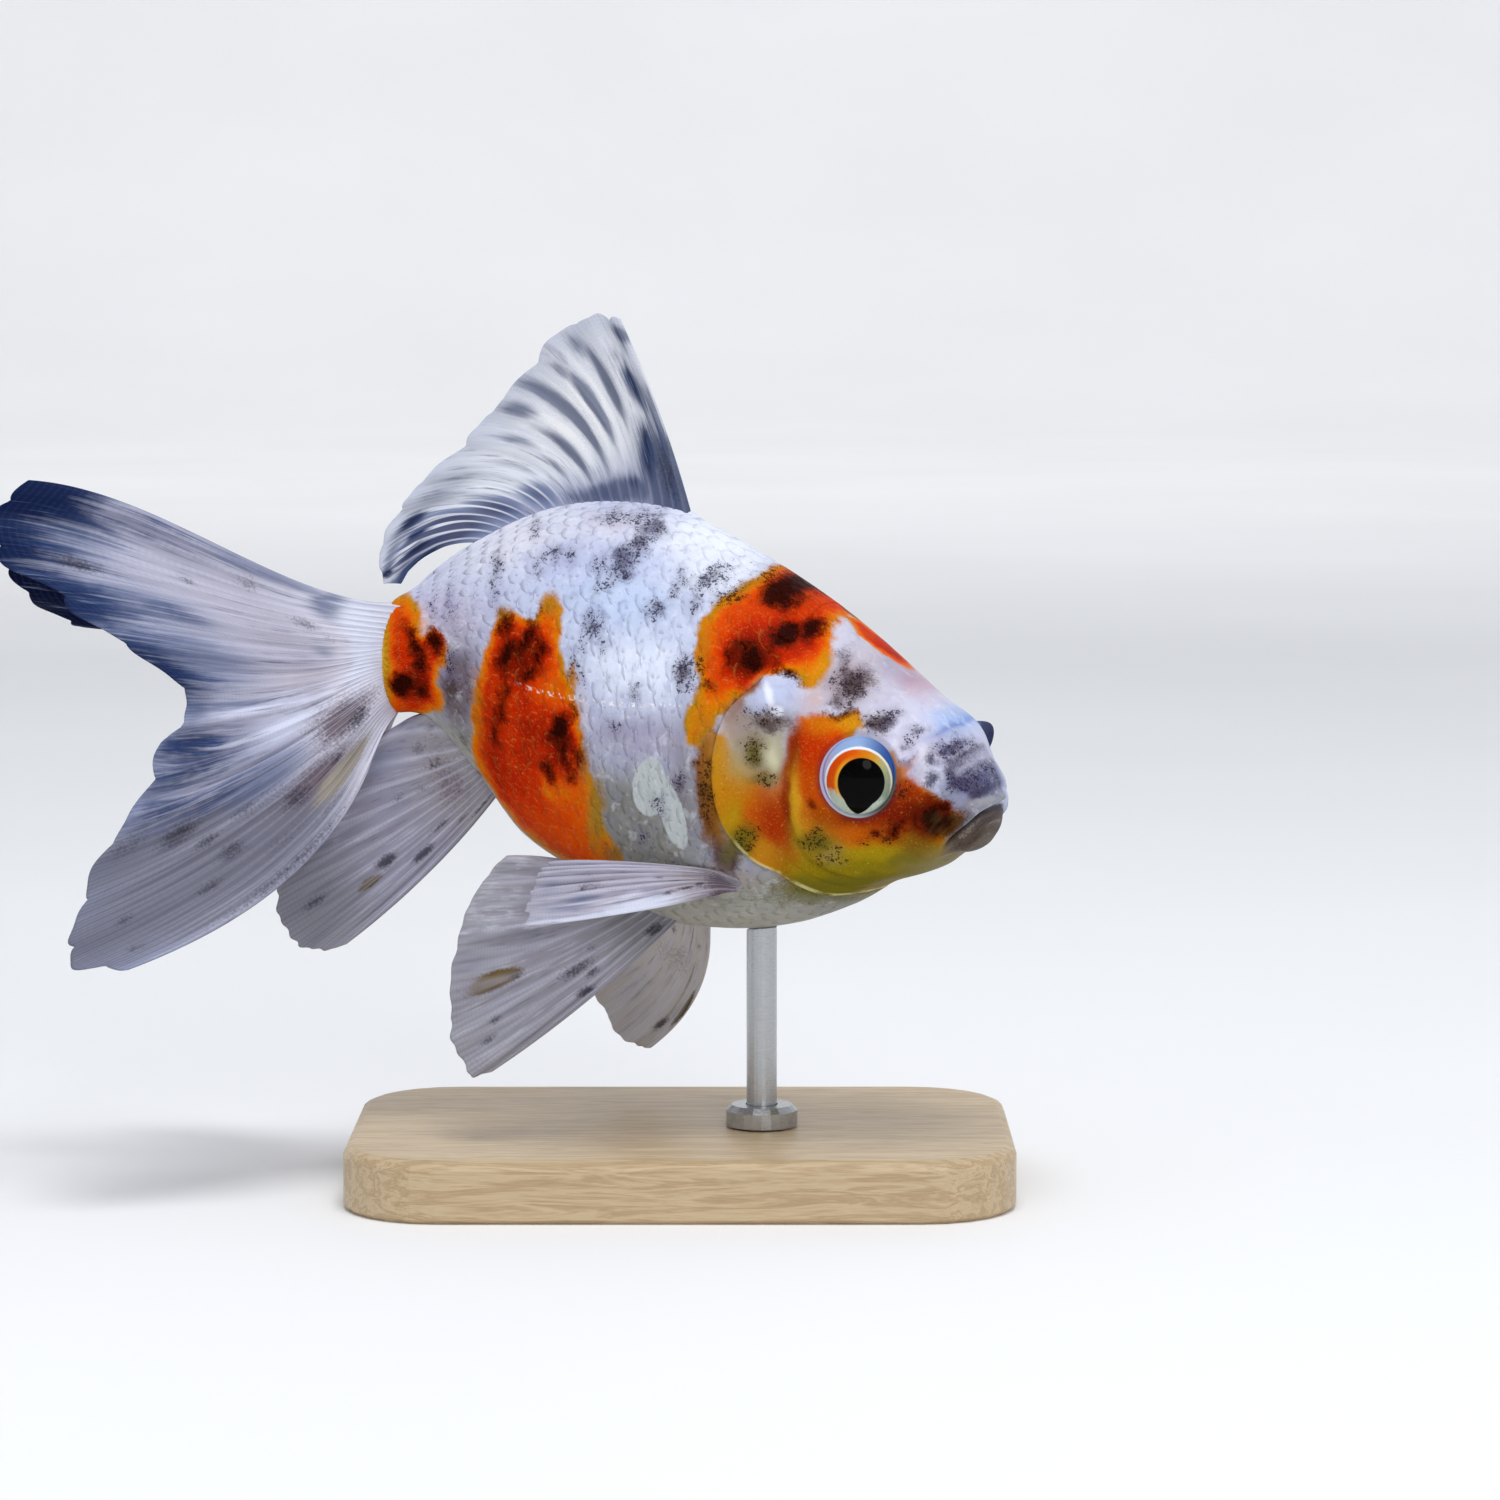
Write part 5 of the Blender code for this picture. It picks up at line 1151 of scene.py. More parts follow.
TAIL = {
    "root": ((-42.6, 0.75, 84.6), (-44.2, 1.6, 79.4), (-44.8, 2.2, 73.6), (-43.2, 1.8, 67.2)),
    "tips": (
        (-93.6, 12, 102.9), (-98, 14, 97.6), (-96.2, 16, 92.1), (-87.4, 17, 86.3), (-78.8, 17, 80.4),
        (-72.1, 15, 74.8), (-69.5, 14, 69.6), (-73, 17, 65), (-75.7, 20, 57.8), (-80, 24, 50.4),
        (-82.7, 27, 43.9), (-84.4, 29, 38.2), (-81.7, 30, 35.2), (-76.4, 30, 34.7),
    ),
    "bow": ((0, 0.4, -2.2, 0), (0.5, 0.5, -1.2, 0), (0.75, 2, 0.4, -0.6), (1, 7, 1.6, -2.8)),
    "curl": 16, "rays": 34, "lobes": 11, "scallop": 0.03, "wave": 0.34, "folds": 11, "root_thick": 3,
    "dip": 0.05, "lean": 0.15, "lean_at": 1, "tones": ("dcdbea", "b0b1c6", "7480a2"),
    "pleats": (0.46, 0.7, 4.5, 0.5),
    "paint": {
        "navy": (
            (0.03, 1, 0.07, 0.26, 1.8), (0.03, 0.72, 0.03, 0.3, 0.8), (0.12, 1.02, 0.1, 0.22, 1.5),
            (0.22, 1.02, 0.08, 0.2, 1.3), (0.25, 0.7, 0.02, 0.1, 0.5), (0.36, 1.02, 0.09, 0.2, 1.2),
            # the navy rows from 0.555 to 0.665 across lie over the pleats: partly the fin's own navy, partly
            # painted shade in their folds
            (0.71, 0.62, 0.04, 0.26, 0.7), (0.555, 0.86, 0.035, 0.3, 0.95), (0.61, 0.8, 0.035, 0.32, 0.95),
            (0.665, 0.84, 0.03, 0.28, 0.85),
        ),
        "slate": (
            (0.1, 0.8, 0.08, 0.14, 0.9), (0.24, 0.74, 0.08, 0.2, 0.8), (0.36, 0.8, 0.08, 0.24, 1),
            (0.46, 0.95, 0.06, 0.1, 0.9), (0.49, 0.72, 0.018, 0.26, 1), (0.61, 0.84, 0.1, 0.28, 0.5),
            (0.38, 0.26, 0.04, 0.06, 0.6), (0.08, 0.15, 0.09, 0.06, 1.1), (0.02, 0.3, 0.02, 0.3, 0.9),
            (0.74, 0.42, 0.08, 0.2, 0.9),
        ),
        "smudge": (
            (0.16, 0.81, 0.02, 0.07, 0.9), (0.14, 0.52, 0.015, 0.03, 0.7), (0.745, 0.72, 0.03, 0.08, 1.1),
            (0.8, 0.62, 0.02, 0.05, 0.8), (0.79, 0.5, 0.02, 0.06, 0.8), (0.7, 0.92, 0.03, 0.1, 0.6),
            (0.8, 0.45, 0.04, 0.15, 0.5), (0.86, 0.56, 0.03, 0.05, 0.9), (0.9, 0.66, 0.02, 0.05, 0.7),
            (0.92, 0.45, 0.03, 0.12, 0.5), (0.985, 0.5, 0.02, 0.3, 0.8), (0.95, 0.3, 0.02, 0.1, 0.5),
            (0.86, 0.86, 0.015, 0.03, 0.7), (0.94, 0.9, 0.012, 0.03, 0.7), (0.24, 0.25, 0.04, 0.05, 0.7),
            (0.08, 0.36, 0.03, 0.04, 0.6), (0.32, 0.2, 0.05, 0.03, 0.45), (0.81, 0.08, 0.07, 0.05, 1),
            (0.86, 0.34, 0.05, 0.06, 0.8), (0.87, 0.19, 0.02, 0.03, 0.8),
        ),
        "white": (
            # the white rows from 0.455 to 0.635 across lie over the pleats: partly the fin's own white,
            # partly painted highlight on their folds
            (0.455, 0.75, 0.03, 0.3, 0.6), (0.52, 0.66, 0.03, 0.3, 0.9), (0.585, 0.7, 0.01, 0.3, 0.9),
            (0.635, 0.7, 0.008, 0.3, 0.7), (0.62, 0.4, 0.06, 0.2, 1.2), (0.54, 0.45, 0.04, 0.2, 0.8),
            (0.35, 0.07, 0.4, 0.08, 1.2),
        ),
        "grey": ((0.74, 0.8, 0.05, 0.4, 1.8), (0.88, 0.65, 0.13, 0.6, 1.5)),
        "mauve": ((0.47, 0.4, 0.06, 0.26, 1.4), (0.25, 0.4, 0.22, 0.24, 0.9)),
        "umber": (
            (0.75, 0.13, 0.12, 0.12, 1.5), (0.86, 0.26, 0.07, 0.14, 1.2), (0.68, 0.22, 0.08, 0.1, 0.8),
        ),
        "warm": ((0.915, 0.2, 0.04, 0.12, 1.6),),
    },
}
TAIL_LEFT = {
    **TAIL,
    "tips": (
        (-94, 11, 98.4), (-98.8, 13, 93.6), (-100.8, 15, 88), (-97.8, 16, 83), (-92.5, 16, 80),
        (-81, 15, 77), (-71, 14, 69), (-73, 17, 64), (-75.7, 20, 56.5), (-79.5, 24, 49), (-82, 27, 42.5),
        (-83, 29, 36.8), (-80.5, 30, 34), (-75.5, 30, 33.7),
    ),
    "paint": {
        "navy": (
            (0.16, 0.96, 0.3, 0.34, 1.9), (0.42, 0.9, 0.1, 0.26, 1.4), (0.02, 0.5, 0.05, 0.5, 0.8),
            # the navy rows at 0.56 and 0.64 across lie over the pleats: partly the fin's own navy, partly
            # painted shade in their folds
            (0.56, 0.74, 0.02, 0.26, 1.2), (0.64, 0.74, 0.02, 0.26, 1.2),
        ),
        "slate": ((0.3, 0.5, 0.2, 0.3, 0.9), (0.74, 0.6, 0.07, 0.3, 0.9)),
        "white": ((0.12, 0.35, 0.05, 0.2, 0.7), (0.35, 0.06, 0.36, 0.06, 1.2)),
        "mauve": ((0.28, 0.38, 0.24, 0.22, 0.9),),
        "smudge": ((0.84, 0.7, 0.04, 0.08, 0.8), (0.72, 0.45, 0.03, 0.2, 0.7), (0.82, 0.11, 0.08, 0.07, 1)),
        "umber": ((0.78, 0.14, 0.14, 0.14, 0.9),),
        "warm": ((0.93, 0.17, 0.05, 0.1, 0.9),),
        "grey": ((0.86, 0.75, 0.14, 0.6, 1.2),),
    },
}
ANAL = {
    "root": ((-26.2, 1.4, 57.4), (-30.5, 1.5, 62.2), (-34, 1.4, 68.2)),
    "tips": (
        (-48.5, 8, 35.2), (-52, 8.5, 34.9), (-55.4, 8.5, 35.9), (-57.4, 8, 39.5), (-58.3, 7, 43.8),
        (-56.7, 5.2, 49.8), (-52.5, 3.4, 56.5), (-45.5, 2.2, 62.5),
    ),
    "bow": ((0, 0.8, -0.8, -0.8), (0.5, 0, -0.6, 1), (1, 0, 0.2, 2.4)),
    "rays": 11, "lobes": 4, "scallop": 0.02, "wave": 0.3, "folds": 5, "root_thick": 1.8, "dip": 0.08,
    "lean": -0.25, "lean_at": 1, "tones": ("98949a", "8f8d9e", "7f7e84"),
    "paint": {
        "smudge": (
            (0.28, 0.53, 0.05, 0.05, 1.3), (0.14, 0.42, 0.045, 0.06, 1.4), (0.2, 0.28, 0.04, 0.06, 0.9),
            (0.11, 0.2, 0.03, 0.05, 0.8), (0.05, 0.1, 0.03, 0.1, 0.9), (0.37, 0.85, 0.03, 0.07, 0.9),
            (0.54, 0.36, 0.04, 0.05, 0.6), (0.5, 0.25, 0.03, 0.05, 0.7), (0.62, 0.16, 0.04, 0.04, 0.6),
            (0.77, 0.24, 0.03, 0.06, 0.7), (0.9, 0.18, 0.02, 0.06, 0.7), (0.7, 0.72, 0.04, 0.03, 0.8),
            (0.32, 0.13, 0.04, 0.03, 0.6),
        ),
        "warm": ((0.25, 0.64, 0.035, 0.06, 1.5),),
        "umber": ((0.4, 0.14, 0.4, 0.1, 0.8),),
        "slate": ((0.8, 0.5, 0.08, 0.2, 0.5),),
        "grey": ((0.3, 0.86, 0.34, 0.24, 1.2),),
    },
}
PECTORAL = {
    "root": ((11.4, 14.5, 45), (10.9, 15.8, 48.4)),
    "tips": (
        (-19.3, 28, 41.7), (-19.2, 25, 44), (-18.6, 22.5, 46.5), (-17.8, 20.8, 48.1), (-16.8, 19.4, 49),
    ),
    "bow": ((0, 0, 2.2, -0.6), (0.5, 0, 1.6, 0), (1, 0, 1, 0.8)),
    "rays": 9, "lobes": 6, "scallop": 0.025, "wave": 0.34, "folds": 7, "root_thick": 2.4, "dip": 0.1,
    "lean": 0.3, "lean_at": 1, "tones": ("a2989f", "aaa5b5", "9a97a5"),
    "paint": {
        "white": (
            (0.06, 0.42, 0.12, 0.3, 1.3), (0.03, 0.7, 0.08, 0.6, 1), (0.24, 0.7, 0.02, 0.16, 0.8),
            (0.36, 0.72, 0.015, 0.12, 0.6), (0.3, 0.45, 0.1, 0.1, 0.8),
        ),
        "slate": (
            (0.26, 0.34, 0.06, 0.06, 0.7), (0.18, 0.78, 0.05, 0.16, 0.9), (0.3, 0.72, 0.04, 0.14, 0.8),
            (0.48, 0.9, 0.1, 0.08, 0.6), (0.08, 0.6, 0.04, 0.03, 0.9),
        ),
        "smudge": (
            (0.3, 0.27, 0.03, 0.06, 0.9), (0.37, 0.18, 0.03, 0.06, 1.1), (0.45, 0.12, 0.08, 0.03, 1.1),
            (0.56, 0.24, 0.05, 0.04, 0.7), (0.64, 0.33, 0.04, 0.04, 1), (0.45, 0.72, 0.05, 0.03, 0.8),
            (0.62, 0.46, 0.04, 0.02, 0.7),
        ),
        "mauve": ((0.4, 0.6, 0.3, 0.16, 1.2),),
        "umber": ((0.5, 0.68, 0.1, 0.08, 0.9), (0.68, 0.72, 0.05, 0.1, 0.9), (0.5, 0.02, 0.6, 0.08, 1.5)),
    },
}
PELVIC = {
    "root": ((1.7, 5, 40.4), (-4.8, 6.2, 43), (-12.4, 7.4, 47.4)),
    "tips": (
        (-26.1, 20, 18.8), (-28.5, 21, 19.2), (-30.6, 21, 23.2), (-31.3, 20, 28.1), (-30.9, 18, 35.7),
        (-29.3, 16, 41.9), (-27.1, 14, 46), (-24.1, 12.5, 49.2),
    ),
    "bow": ((0, 0.6, 1.2, -0.8), (0.5, 0, 1.6, 0.4), (1, 0, 1.4, 0.8)),
    "rays": 10, "lobes": 5, "scallop": 0.02, "wave": 0.3, "folds": 6, "root_thick": 1.8, "dip": 0.08,
    "lean": -0.15, "lean_at": 1, "tones": ("8f8c90", "94919b", "908d90"),
    "paint": {
        "warm": ((0.435, 0.76, 0.03, 0.12, 2.2),),
        "umber": ((0.45, 0.86, 0.03, 0.12, 1), (0.12, 0.95, 0.1, 0.06, 0.5)),
        "smudge": (
            (0.41, 0.66, 0.02, 0.05, 0.9), (0.09, 0.46, 0.06, 0.04, 1.3), (0.25, 0.42, 0.05, 0.1, 0.9),
            (0.17, 0.38, 0.05, 0.04, 0.9), (0.22, 0.86, 0.02, 0.05, 1), (0.28, 0.8, 0.02, 0.04, 0.9),
            (0.1, 0.11, 0.1, 0.04, 1.2), (0.3, 0.32, 0.05, 0.03, 0.6),
        ),
        "slate": ((0.1, 0.76, 0.06, 0.06, 0.5),),
        "white": ((0.6, 0.6, 0.1, 0.5, 0.3),),
        "grey": ((0.5, 0.9, 0.5, 0.3, 0.7),),
    },
}
PELVIC_LEFT = {
    **PELVIC,
    "root": ((2.6, 4.4, 40.2), (-4.2, 6, 42.6), (-11.4, 7.2, 46.8)),
    "tips": (
        (-8.6, 23, 15.7), (-11.2, 24, 16.3), (-13.8, 25, 19.3), (-15.6, 24, 23.6), (-17.5, 22, 29.2),
        (-18.5, 19, 34.3), (-19, 16, 38.5), (-19, 14, 42),
    ),
    "bow": ((0, 3.2, 1.6, -1.2), (0.5, 1, 1.6, 0.4), (1, 0, 1.4, 0.8)),
    # painted light: these tones are far lighter than the right fin's, to make up for the body's shadow over
    # the left fin
    "tones": ("d0cecf", "d6d4d8", "d2cfcd"),
    "paint": {
        "smudge": (
            (0.09, 0.81, 0.03, 0.06, 1.3), (0.4, 0.33, 0.03, 0.05, 1), (0.28, 0.24, 0.04, 0.04, 0.8),
            (0.08, 0.26, 0.03, 0.03, 0.7), (0.52, 0.88, 0.03, 0.06, 0.6),
        ),
        "warm": ((0.02, 0.68, 0.02, 0.14, 1.5),),
        "white": ((0.44, 0.36, 0.03, 0.16, 0.7),),
        "umber": ((0.2, 0.4, 0.2, 0.1, 0.5),),
        "grey": ((0.3, 0.9, 0.4, 0.4, 0.6),),
    },
}
ANAL_LEFT_SPREAD = 0.5
FIN_LAYERS = ("navy", "white", "smudge", "warm", "umber", "clear", "grey", "slate", "mauve", "web")
MEMBRANE = 0.30                 # thickness of the web between rays
RAY_HEIGHT = 0.26               # how much thicker the fin is on a ray, near its root
RAY_WIDTH = 0.12                # half width of a ray's ridge, in parts of the room for one ray
LEAD_THICK = 0.5                # how much thicker the first ray is
RIM_THICK = 0.16
RAY_STEPS = 8                   # mesh columns to a ray
FIN_ROWS = 110


def curve_at(points, u):
    """Places on the smooth line through evenly spread points."""
    at = np.linspace(0, 1, len(points))
    return rows_at([(a, *p) for a, p in zip(at, points)], u)


def rows_at(table, u):
    """Three smooth values from rows of a position and three values."""
    return np.stack([smooth_at([(row[0], row[k]) for row in table], u) for k in (1, 2, 3)], -1)


def fin_sheet(fin, u, v):
    """Middle sheet of a placed fin."""
    root = curve_at(fin["root"], u)
    tip = curve_at(fin["tips"], u)
    middle = (root + tip) / 2 + 2 * rows_at(fin["bow"], u)
    w = v[..., None]
    p = root * (1 - w) ** 2 + middle * 2 * w * (1 - w) + tip * w ** 2
    p[..., 2] += fin.get("curl", 0.0) * np.maximum(1 - 3 * u, 0) * v * (1 - v) * (2 * v - 1)
    return p


def placed(fin, side):
    """The fin's tables moved from spine places to world points."""
    out = dict(fin)
    for key in ("root", "tips"):
        out[key] = [from_spine(s, o * side, z) for s, o, z in fin[key]]
    a = float(yaw_at(fin["root"][0][0]))
    c = math.cos(a)
    s = math.sin(a)
    out["bow"] = [(share, along * c - aside * side * s, -along * s - aside * side * c, up)
                  for share, along, aside, up in fin["bow"]]
    return out


def sheet_normals(p):
    n = np.cross(np.gradient(p, axis=1), np.gradient(p, axis=0))
    return n / np.maximum(np.linalg.norm(n, axis=-1, keepdims=True), 1e-12)


def ray_ridge(ray, v):
    """Ridge height 0 to 1; each ray forks once past its middle and again near its end."""
    w = ray - np.floor(ray) - 0.5
    first = 0.25 * ramp(v, 0.34, 0.95)
    second = 0.125 * ramp(v, 0.62, 1.05)
    branches = [bump(w - a * first - b * second, RAY_WIDTH) for a in (-1, 1) for b in (-1, 1)]
    return np.max(branches, axis=0)


def ray_share(fin, u, v):
    """Which ray a place lies on, 0 to 1; rays lean as they run out along the fin."""
    return u + fin["lean"] * np.sin(np.pi * u ** fin["lean_at"]) * (v - 1)


def root_share(fin, share, v):
    """Which place along the root each ray started from, found by trying many."""
    trial = np.linspace(0, 1, 400)
    leaning = [ray_share(fin, trial, np.interp(trial, share[0], row)) for row in v]
    return np.stack([np.interp(share[0], tried, trial) for tried in leaning])


def painted_layer(fin, layer, share, v):
    """How strongly one layer is painted over the fin."""
    best = np.zeros(v.shape)
    for across, out, wide, long, amount in fin["paint"].get(layer, ()):
        hill = bump(share - ray_share(fin, across, out), wide) * bump(v - out, long)
        best = np.maximum(best, amount * hill)
    return best


def fin_places(fin, seed):
    """Share across the rays and place out along them for each point, with a scalloped free edge."""
    share = np.linspace(0, 1, fin["rays"] * RAY_STEPS + 1)
    t = np.linspace(0, 1, FIN_ROWS)[:, None]
    lobe = np.abs(np.sin(np.pi * fin["lobes"] * share + seed)) ** 0.7
    end = 1.0 + fin["scallop"] * (lobe - 0.8 + 0.35 * np.sin(31 * share + seed) + 0.2 * np.sin(83 * share))
    end = end - 0.02 * (1 - window(share, -0.02, 0.05, 0.95, 1.02))
    return np.broadcast_arrays(share, -fin["dip"] + (end + fin["dip"]) * t, t)


def fin_folds(fin, share, v, seed):
    """How far the sheet waves out of its plane."""
    turn = 2 * np.pi * fin["folds"] * share
    wave = np.cos(turn + 1.4 * v) + 0.5 * np.sin(0.37 * turn + 3.0 * v + seed)
    wave = wave * fin["wave"] * ramp(v, 0.05, 0.8)
    if "pleats" in fin:
        low, high, count, depth = fin["pleats"]
        part = window(share, low - 0.04, low + 0.03, high - 0.05, high + 0.03)
        pleat = np.cos(2 * np.pi * count * (share - low) / (high - low))
        wave = wave + depth * part * ramp(v, 0.1, 0.6) * pleat
    return wave


def fin_thickness(fin, share, v, t, ridge):
    """Thick at the root and on the rays, thin at the rim."""
    root = fin["root_thick"] * np.exp(-np.maximum(v + 0.02, 0) / 0.09)
    lead = LEAD_THICK * np.exp(-share / 0.02) * (1 - 0.7 * v)
    body = MEMBRANE + RAY_HEIGHT * ridge * (1.2 - 0.8 * v) + root + lead
    rim = ramp(t, 1.0, 0.965) * window(share, 0.0, 0.012, 0.988, 1.0)
    return RIM_THICK + (body - RIM_THICK) * rim


def build_fin(name, table, side, material):
    """Closed thin fin with forked rays, folds and a scalloped free edge."""
    fin = placed(table, side)
    seed = sum(ord(c) for c in name) * 0.37
    share, v, t = fin_places(fin, seed)
    p = fin_sheet(fin, root_share(fin, share, v), v)
    p = p + sheet_normals(p) * fin_folds(fin, share, v, seed)[..., None]
    ray = share * fin["rays"]
    ridge = ray_ridge(ray, v)
    half = sheet_normals(p) * fin_thickness(fin, share, v, t, ridge)[..., None] / 2
    points = np.concatenate(((p + half).reshape(-1, 3), (p - half).reshape(-1, 3)))
    marks = {"ray": ray, "out": v, "ridge": ridge}
    marks |= {layer: painted_layer(fin, layer, share, v) for layer in FIN_LAYERS}
    faces = slab_faces(*v.shape)
    corners = faces.copy()
    corners[2 * (v.shape[0] - 1) * (v.shape[1] - 1):] %= v.size     # the rim shares the first side's unwrap
    front = np.stack((0.01 + 0.48 * share, 0.01 + 0.98 * t), -1).reshape(-1, 2)
    uv = np.concatenate((front, front + (0.5, 0.0)))[corners.ravel()]
    marks = {key: np.tile(value.ravel(), 2) for key, value in marks.items()}
    mesh = new_mesh(name + "_rays", points, faces.tolist(), marks, uv)
    place_piece(name + "_rays", mesh, material, (name,))


class FinPaint(Paint):
    """Colours of a fin, with streaks that follow the rays, and a method for each kind of marking."""

    def __init__(self, name):
        super().__init__(name)
        self.ray = self.mark("ray")
        self.out = self.mark("out")
        self.ridge = self.mark("ridge")
        self.streak = self.ray_noise(1.3, 1.8, 3.0, 0.55)
        self.thread = self.ray_noise(4.0, 5.0, 3.0)
        self.grain = self.noise(2.6, 3.0)
        self.shade = self.sum(0.0, (self.noise(0.5, 3.0), 0.3), (self.thread, 1.0), (self.streak, 1.2),
                              (self.ray_noise(7.0, 2.5, 2.0), 0.9))
        self.slate = self.painted("slate", 0.15, 1.0, (self.shade, 0.8))
        self.navy = self.painted("navy", 0.1, 1.2, (self.shade, 1.3))
        self.smudge = self.painted("smudge", 0.25, 1.1, (self.shade, 0.4), (self.grain, 1.3))

    def ray_noise(self, across, out, detail, rough=0.6):
        place = self.vector(self.times(self.ray, across), self.times(self.out, out))
        return self.noise(1.0, detail, rough, place)

    def painted(self, layer, low, high, *uneven):
        """Share of a paint layer, broken up by uneven values, and only where the layer is painted."""
        mark = self.mark(layer)
        return self.times(self.step(self.sum(mark, *uneven), low, high), self.step(mark, 0.03, 0.25))

    def membrane(self, tones, murk_tone):
        """Root, middle and tip tones, lighter and darker streaks, and murk."""
        root, middle, tip = tones
        colour = self.ramp(self.sum(self.out, (self.streak, 0.25)), (0.0, root), (0.16, root), (0.36, middle),
                           (0.72, middle), (1.0, tip))
        colour = self.lay(colour, "b3adbb", self.mark("mauve"), 0.8)
        colour = self.lay(colour, "5c607c", self.step(self.shade, -0.02, -0.5), 0.8)
        colour = self.lay(colour, "dcdcea", self.step(self.shade, 0.05, 0.55), 0.6)
        murk = self.sum(self.mark("grey"), (self.shade, -0.35))
        return self.lay(colour, murk_tone, self.step(murk, 0.0, 1.1), 0.85)

    def stains(self, colour, slate_tone, warm_tones):
        """Umber, warm, slate and white parts."""
        fleck = self.step(self.thread, -0.2, 0.2)
        umber = self.painted("umber", 0.15, 1.3, (self.grain, 1.5), (self.shade, 0.9))
        colour = self.lay(colour, self.mix(fleck, "4c3a44", "73646e"), umber, 0.92)
        warm = self.painted("warm", 0.3, 0.9, (self.grain, 0.9), (self.streak, 0.9))
        colour = self.lay(colour, self.mix(fleck, *warm_tones), warm, 0.95)
        colour = self.lay(colour, slate_tone, self.slate, 0.82)
        return self.lay(colour, "dfe4f6", self.painted("white", 0.25, 1.2, (self.shade, 1.1)), 0.75)

    def pale_rays(self, colour):
        """Rays paler than the web between them, least in grey and slate parts."""
        pale = self.sum(0.3, (self.mark("grey"), -0.2), clamp=True)
        pale = self.times(pale, self.sum(1.0, (self.slate, -0.8)))
        colour = self.lay(colour, "d2d3e4", self.ridge, pale)
        mark = self.mark("web")
        web = self.step(self.sum(mark, (self.shade, 0.5)), 0.15, 0.7)
        web = self.times(web, self.step(self.ridge, 0.75, 0.2))
        return self.lay(colour, self.mix(self.step(mark, 0.5, 1.2), "7582a6", "222e5c"), web, 0.9)

    def darks(self, colour, dark, tint):
        """Navy with paler painted highlights, then smudges."""
        deep = self.sum(self.shade, (self.mark("navy"), -0.5))
        colour = self.lay(colour, self.mix(self.step(deep, -0.75, 0.1), dark, tint), self.navy, 0.99)
        # painted highlight: pale silvery streaks laid over the navy
        painted_glint = self.step(self.sum(self.thread, (self.streak, 0.4)), 0.10, 0.40)
        colour = self.lay(colour, "a8b8da", self.times(painted_glint, self.navy), 0.5)
        return self.lay(colour, "34323e", self.smudge, 0.85)

    def joints(self, colour):
        """Fine pale rays, crossed by their joints."""
        bars = self.math("SINE", self.times(self.out, 340.0))
        joint = self.times(self.step(bars, 0.0, 0.9), self.times(self.ridge, self.step(self.out, 0.15, 0.4)))
        bare = self.sum(1.0, (self.navy, -1.0), clamp=True)
        colour = self.lay(colour, "cfd0e2", self.times(self.ridge, bare), 0.08)
        return self.lay(colour, "555b7c", joint, 0.10)

    def cover(self, solid):
        """How solid the web is: clearer in the clear parts, less so on the rays."""
        marked = self.most(self.navy, self.smudge, self.slate)
        clear = self.times(self.mark("clear"), self.sum(1.0, (marked, -1.0), clamp=True))
        return self.sum(solid, (clear, -0.72), (self.times(self.ridge, clear), 0.25), clamp=True)


def fin_material(name, fin, dark="0e1e44", tint="30416c", murk_tone="5c5b68", slate_tone="626d8c",
                 warm_tones=("4e3a12", "6e5a30"), solid=1.0):
    m = FinPaint(name)
    colour = m.stains(m.membrane(fin["tones"], murk_tone), slate_tone, warm_tones)
    colour = m.joints(m.darks(m.pale_rays(colour), dark, tint))
    return m.finish(colour, m.sum(0.42, (m.thread, 0.2)), m.thread, 0.03, Alpha=m.cover(solid),
                    Specular_IOR_Level=MATT)


def build_fins():
    dorsal = fin_material("dorsal_paint", DORSAL, dark="1a2440", tint="46567e", slate_tone="3a4666",
                          solid=0.95)
    build_fin("dorsal_fin", DORSAL, 1, dorsal)
    tail = fin_material("tail_paint", TAIL, warm_tones=("7a7268", "9c9488"))
    build_fin("tail_fin_R", TAIL, 1, tail)
    left_tail = fin_material("tail_left_paint", TAIL_LEFT, dark="020a2a")
    build_fin("tail_fin_L", TAIL_LEFT, -1, left_tail)
    anal = fin_material("anal_paint", ANAL, murk_tone="77767f")
    build_fin("anal_fin_R", ANAL, 1, anal)
    narrow = dict(ANAL, tips=[(s, o * ANAL_LEFT_SPREAD, z) for s, o, z in ANAL["tips"]])
    build_fin("anal_fin_L", narrow, -1, anal)
    pectoral = fin_material("pectoral_paint", PECTORAL)
    build_fin("pectoral_fin_R", PECTORAL, 1, pectoral)
    build_fin("pectoral_fin_L", PECTORAL, -1, pectoral)
    pelvic = fin_material("pelvic_paint", PELVIC, murk_tone="77767f")
    build_fin("pelvic_fin_R", PELVIC, 1, pelvic)
    # painted light: the left pelvic's light murk makes up for the body's shadow over it
    left_pelvic = fin_material("pelvic_left_paint", PELVIC_LEFT, murk_tone="a2a2a8")
    build_fin("pelvic_fin_L", PELVIC_LEFT, -1, left_pelvic)


# --- eyes -----------------------------------------------------------------------
EYE_RINGS = 70
EYE_SPOKES = 120
IRIS_AT = (3.0, -10.0)          # degrees forward and up from the eye's axis
PUPIL_AT = (8.5, -6.5)
PUPIL_WIDE = 37.5               # degrees from the pupil's middle to its rim
PUPIL_POINT = 21.0              # how much further its lower point reaches
PUPIL_LEAN = 0.2                # radians the point lies behind straight down
PUPIL_POINT_WIDE = 0.7          # radians from the point to where the rim is round again


def from_axis(unit, at):
    """Degrees between directions on the eyeball and a place on it, and the bearing from there."""
    t, rise = np.radians(at)
    axis = np.array((math.sin(t) * math.cos(rise), math.sin(rise), math.cos(t) * math.cos(rise)))
    bearing = np.arctan2(unit[:, 0] - axis[0], axis[1] - unit[:, 1])
    return np.degrees(np.arccos(np.clip(unit @ axis, -1, 1))), bearing


